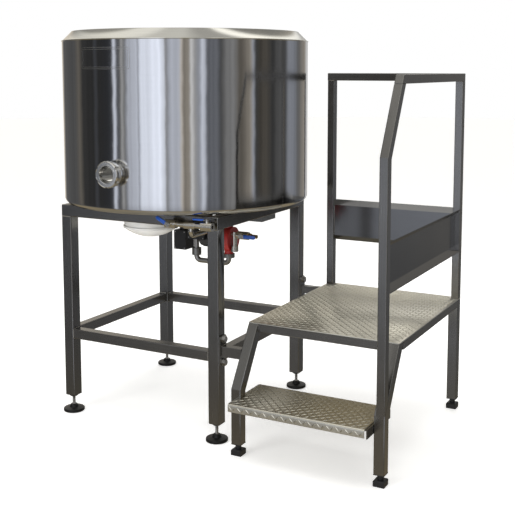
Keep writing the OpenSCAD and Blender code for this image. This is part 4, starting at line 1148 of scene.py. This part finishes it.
pivots = {j["child"]: Vector(j["pos_m"]) for j in frame["joints"] if j["type"] == "hinge"}
tilt = math.radians(153)
sleeve("fill_sleeve", "lever_fill", pivots["lever_fill"], (math.cos(tilt), 0, math.sin(tilt)), (0, -1, 0),
       0.016, 0.0725, 0.0185, 0.0075, 0.031)
sleeve("drain_sleeve", "lever_drain", pivots["lever_drain"], (-1, 0, 0), (0, 0, 1),
       0.018, 0.0785, 0.0185, 0.0072, 0.031)
sleeve("blowdown_sleeve", "lever_blowdown", pivots["lever_blowdown"], (1, 0, 0), (0, -1, 0),
       0.018, 0.0825, 0.0185, 0.0075, 0.031)
print("sleeves: 3")

# %% [markdown]
# ## The pump's small parts
# A small circulating pump has a finned motor can, a ring of cap screws where the can meets the volute, and
# screws on its terminal box. They are tiny, but without them the pump reads as a toy.

# %% Motor fins
low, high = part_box("pump_motor")
pump = middle("pump_rotor")
verts, faces = [], []
FINS, FIN_STEP, can_r = 9, 0.0095, 0.046
for k in range(FINS):
    x = low.x + 0.012 + k * FIN_STEP
    fin = [(can_r - 0.001, 0), (can_r + 0.0035, 0.0004), (can_r + 0.0040, 0.0012), (can_r + 0.0035, 0.0020),
           (can_r - 0.001, 0.0024)]
    rv, rf = turned(fin, 64)
    keep = [f for f in rf if sum(rv[i][0] for i in f) / 4 >= -can_r * 0.55]
    add(verts, faces, [Vector((x + h, pump.y + a, pump.z + b)) for a, b, h in rv], keep)
fins = mesh_piece("motor_fins", verts, faces, motor_black, smooth=40)
hand_over(fins)
print("fins:", FINS)

# %% Cap screws
def cap_screw(verts, faces, spot, normal, radius, height):
    normal = Vector(normal).normalized()
    side = normal.orthogonal().normalized()
    other = normal.cross(side)
    section = [(0.0001, height * 0.55), (radius * 0.5, height * 0.55), (radius * 0.55, height),
               (radius * 0.9, height), (radius, height * 0.85), (radius, -0.0005)]
    sv, sf = turned(section, 18, closed=False)
    add(verts, faces, [Vector(spot) + side * a + other * b + normal * h for a, b, h in sv], sf)


verts, faces = [], []
flange_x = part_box("pump_motor")[1].x - 0.010
FLANGE_CIRCLE = 0.0525
for k in range(6):
    a = math.radians(60 * k + 30)
    spot = (flange_x, pump.y + FLANGE_CIRCLE * math.cos(a), pump.z + FLANGE_CIRCLE * math.sin(a))
    cap_screw(verts, faces, spot, (-1, 0, 0), 0.0042, 0.0045)
tb_low, tb_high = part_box("pump_terminal_box")
for x in (tb_low.x + 0.007, tb_high.x - 0.007):
    for z in (tb_low.z + 0.007, tb_high.z - 0.007):
        cap_screw(verts, faces, (x, tb_low.y, z), (0, -1, 0), 0.0028, 0.0016)
hb_low, hb_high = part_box("heater_box")
for x in (hb_low.x + 0.008, hb_high.x - 0.008):
    for z in (hb_low.z + 0.008, hb_low.z + 0.092):
        cap_screw(verts, faces, (x, hb_low.y, z), (0, -1, 0), 0.0032, 0.0018)
wb_low, wb_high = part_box("wiring_box")
for x in (wb_low.x + 0.009, wb_high.x - 0.009):
    for y in (wb_low.y + 0.009, wb_high.y - 0.035):
        cap_screw(verts, faces, (x, y, wb_low.z), (0, 0, -1), 0.0032, 0.0018)
screws = mesh_piece("cover_screws", verts, faces, bolt_steel, smooth=40)
hand_over(screws)
print("screws:", len(faces) // 90)

# %% [markdown]
# ## The floor
# One wide pale floor catches the soft shadows, and it glows a little so that it meets the backdrop without a
# line. It is kept out of the steel's reflections, because a white plain mirrored in every tube would wash
# them out: there the room's own darker floor tone is seen instead.

# %% Floor
FLOOR_R, FLOOR_Z = 30.0, -0.0006
floor_paint = finish("floor_paint", (0.86, 0.86, 0.85), 0.0, 0.75, (40, 40, 40), 0.02, 0.0, 0.02, 1.0,
                     specular=0.1)
paint = floor_paint.node_tree.nodes["Principled BSDF"]
paint.inputs["Emission Color"].default_value = (1, 1, 1, 1)
paint.inputs["Emission Strength"].default_value = 0.46
verts, faces = turned([(0.001, FLOOR_Z), (FLOOR_R * 0.25, FLOOR_Z), (FLOOR_R, FLOOR_Z)], 96, closed=False)
wide_floor = mesh_piece("wide_floor", verts, faces, floor_paint)
wide_floor.visible_glossy = False
print("floor ready")
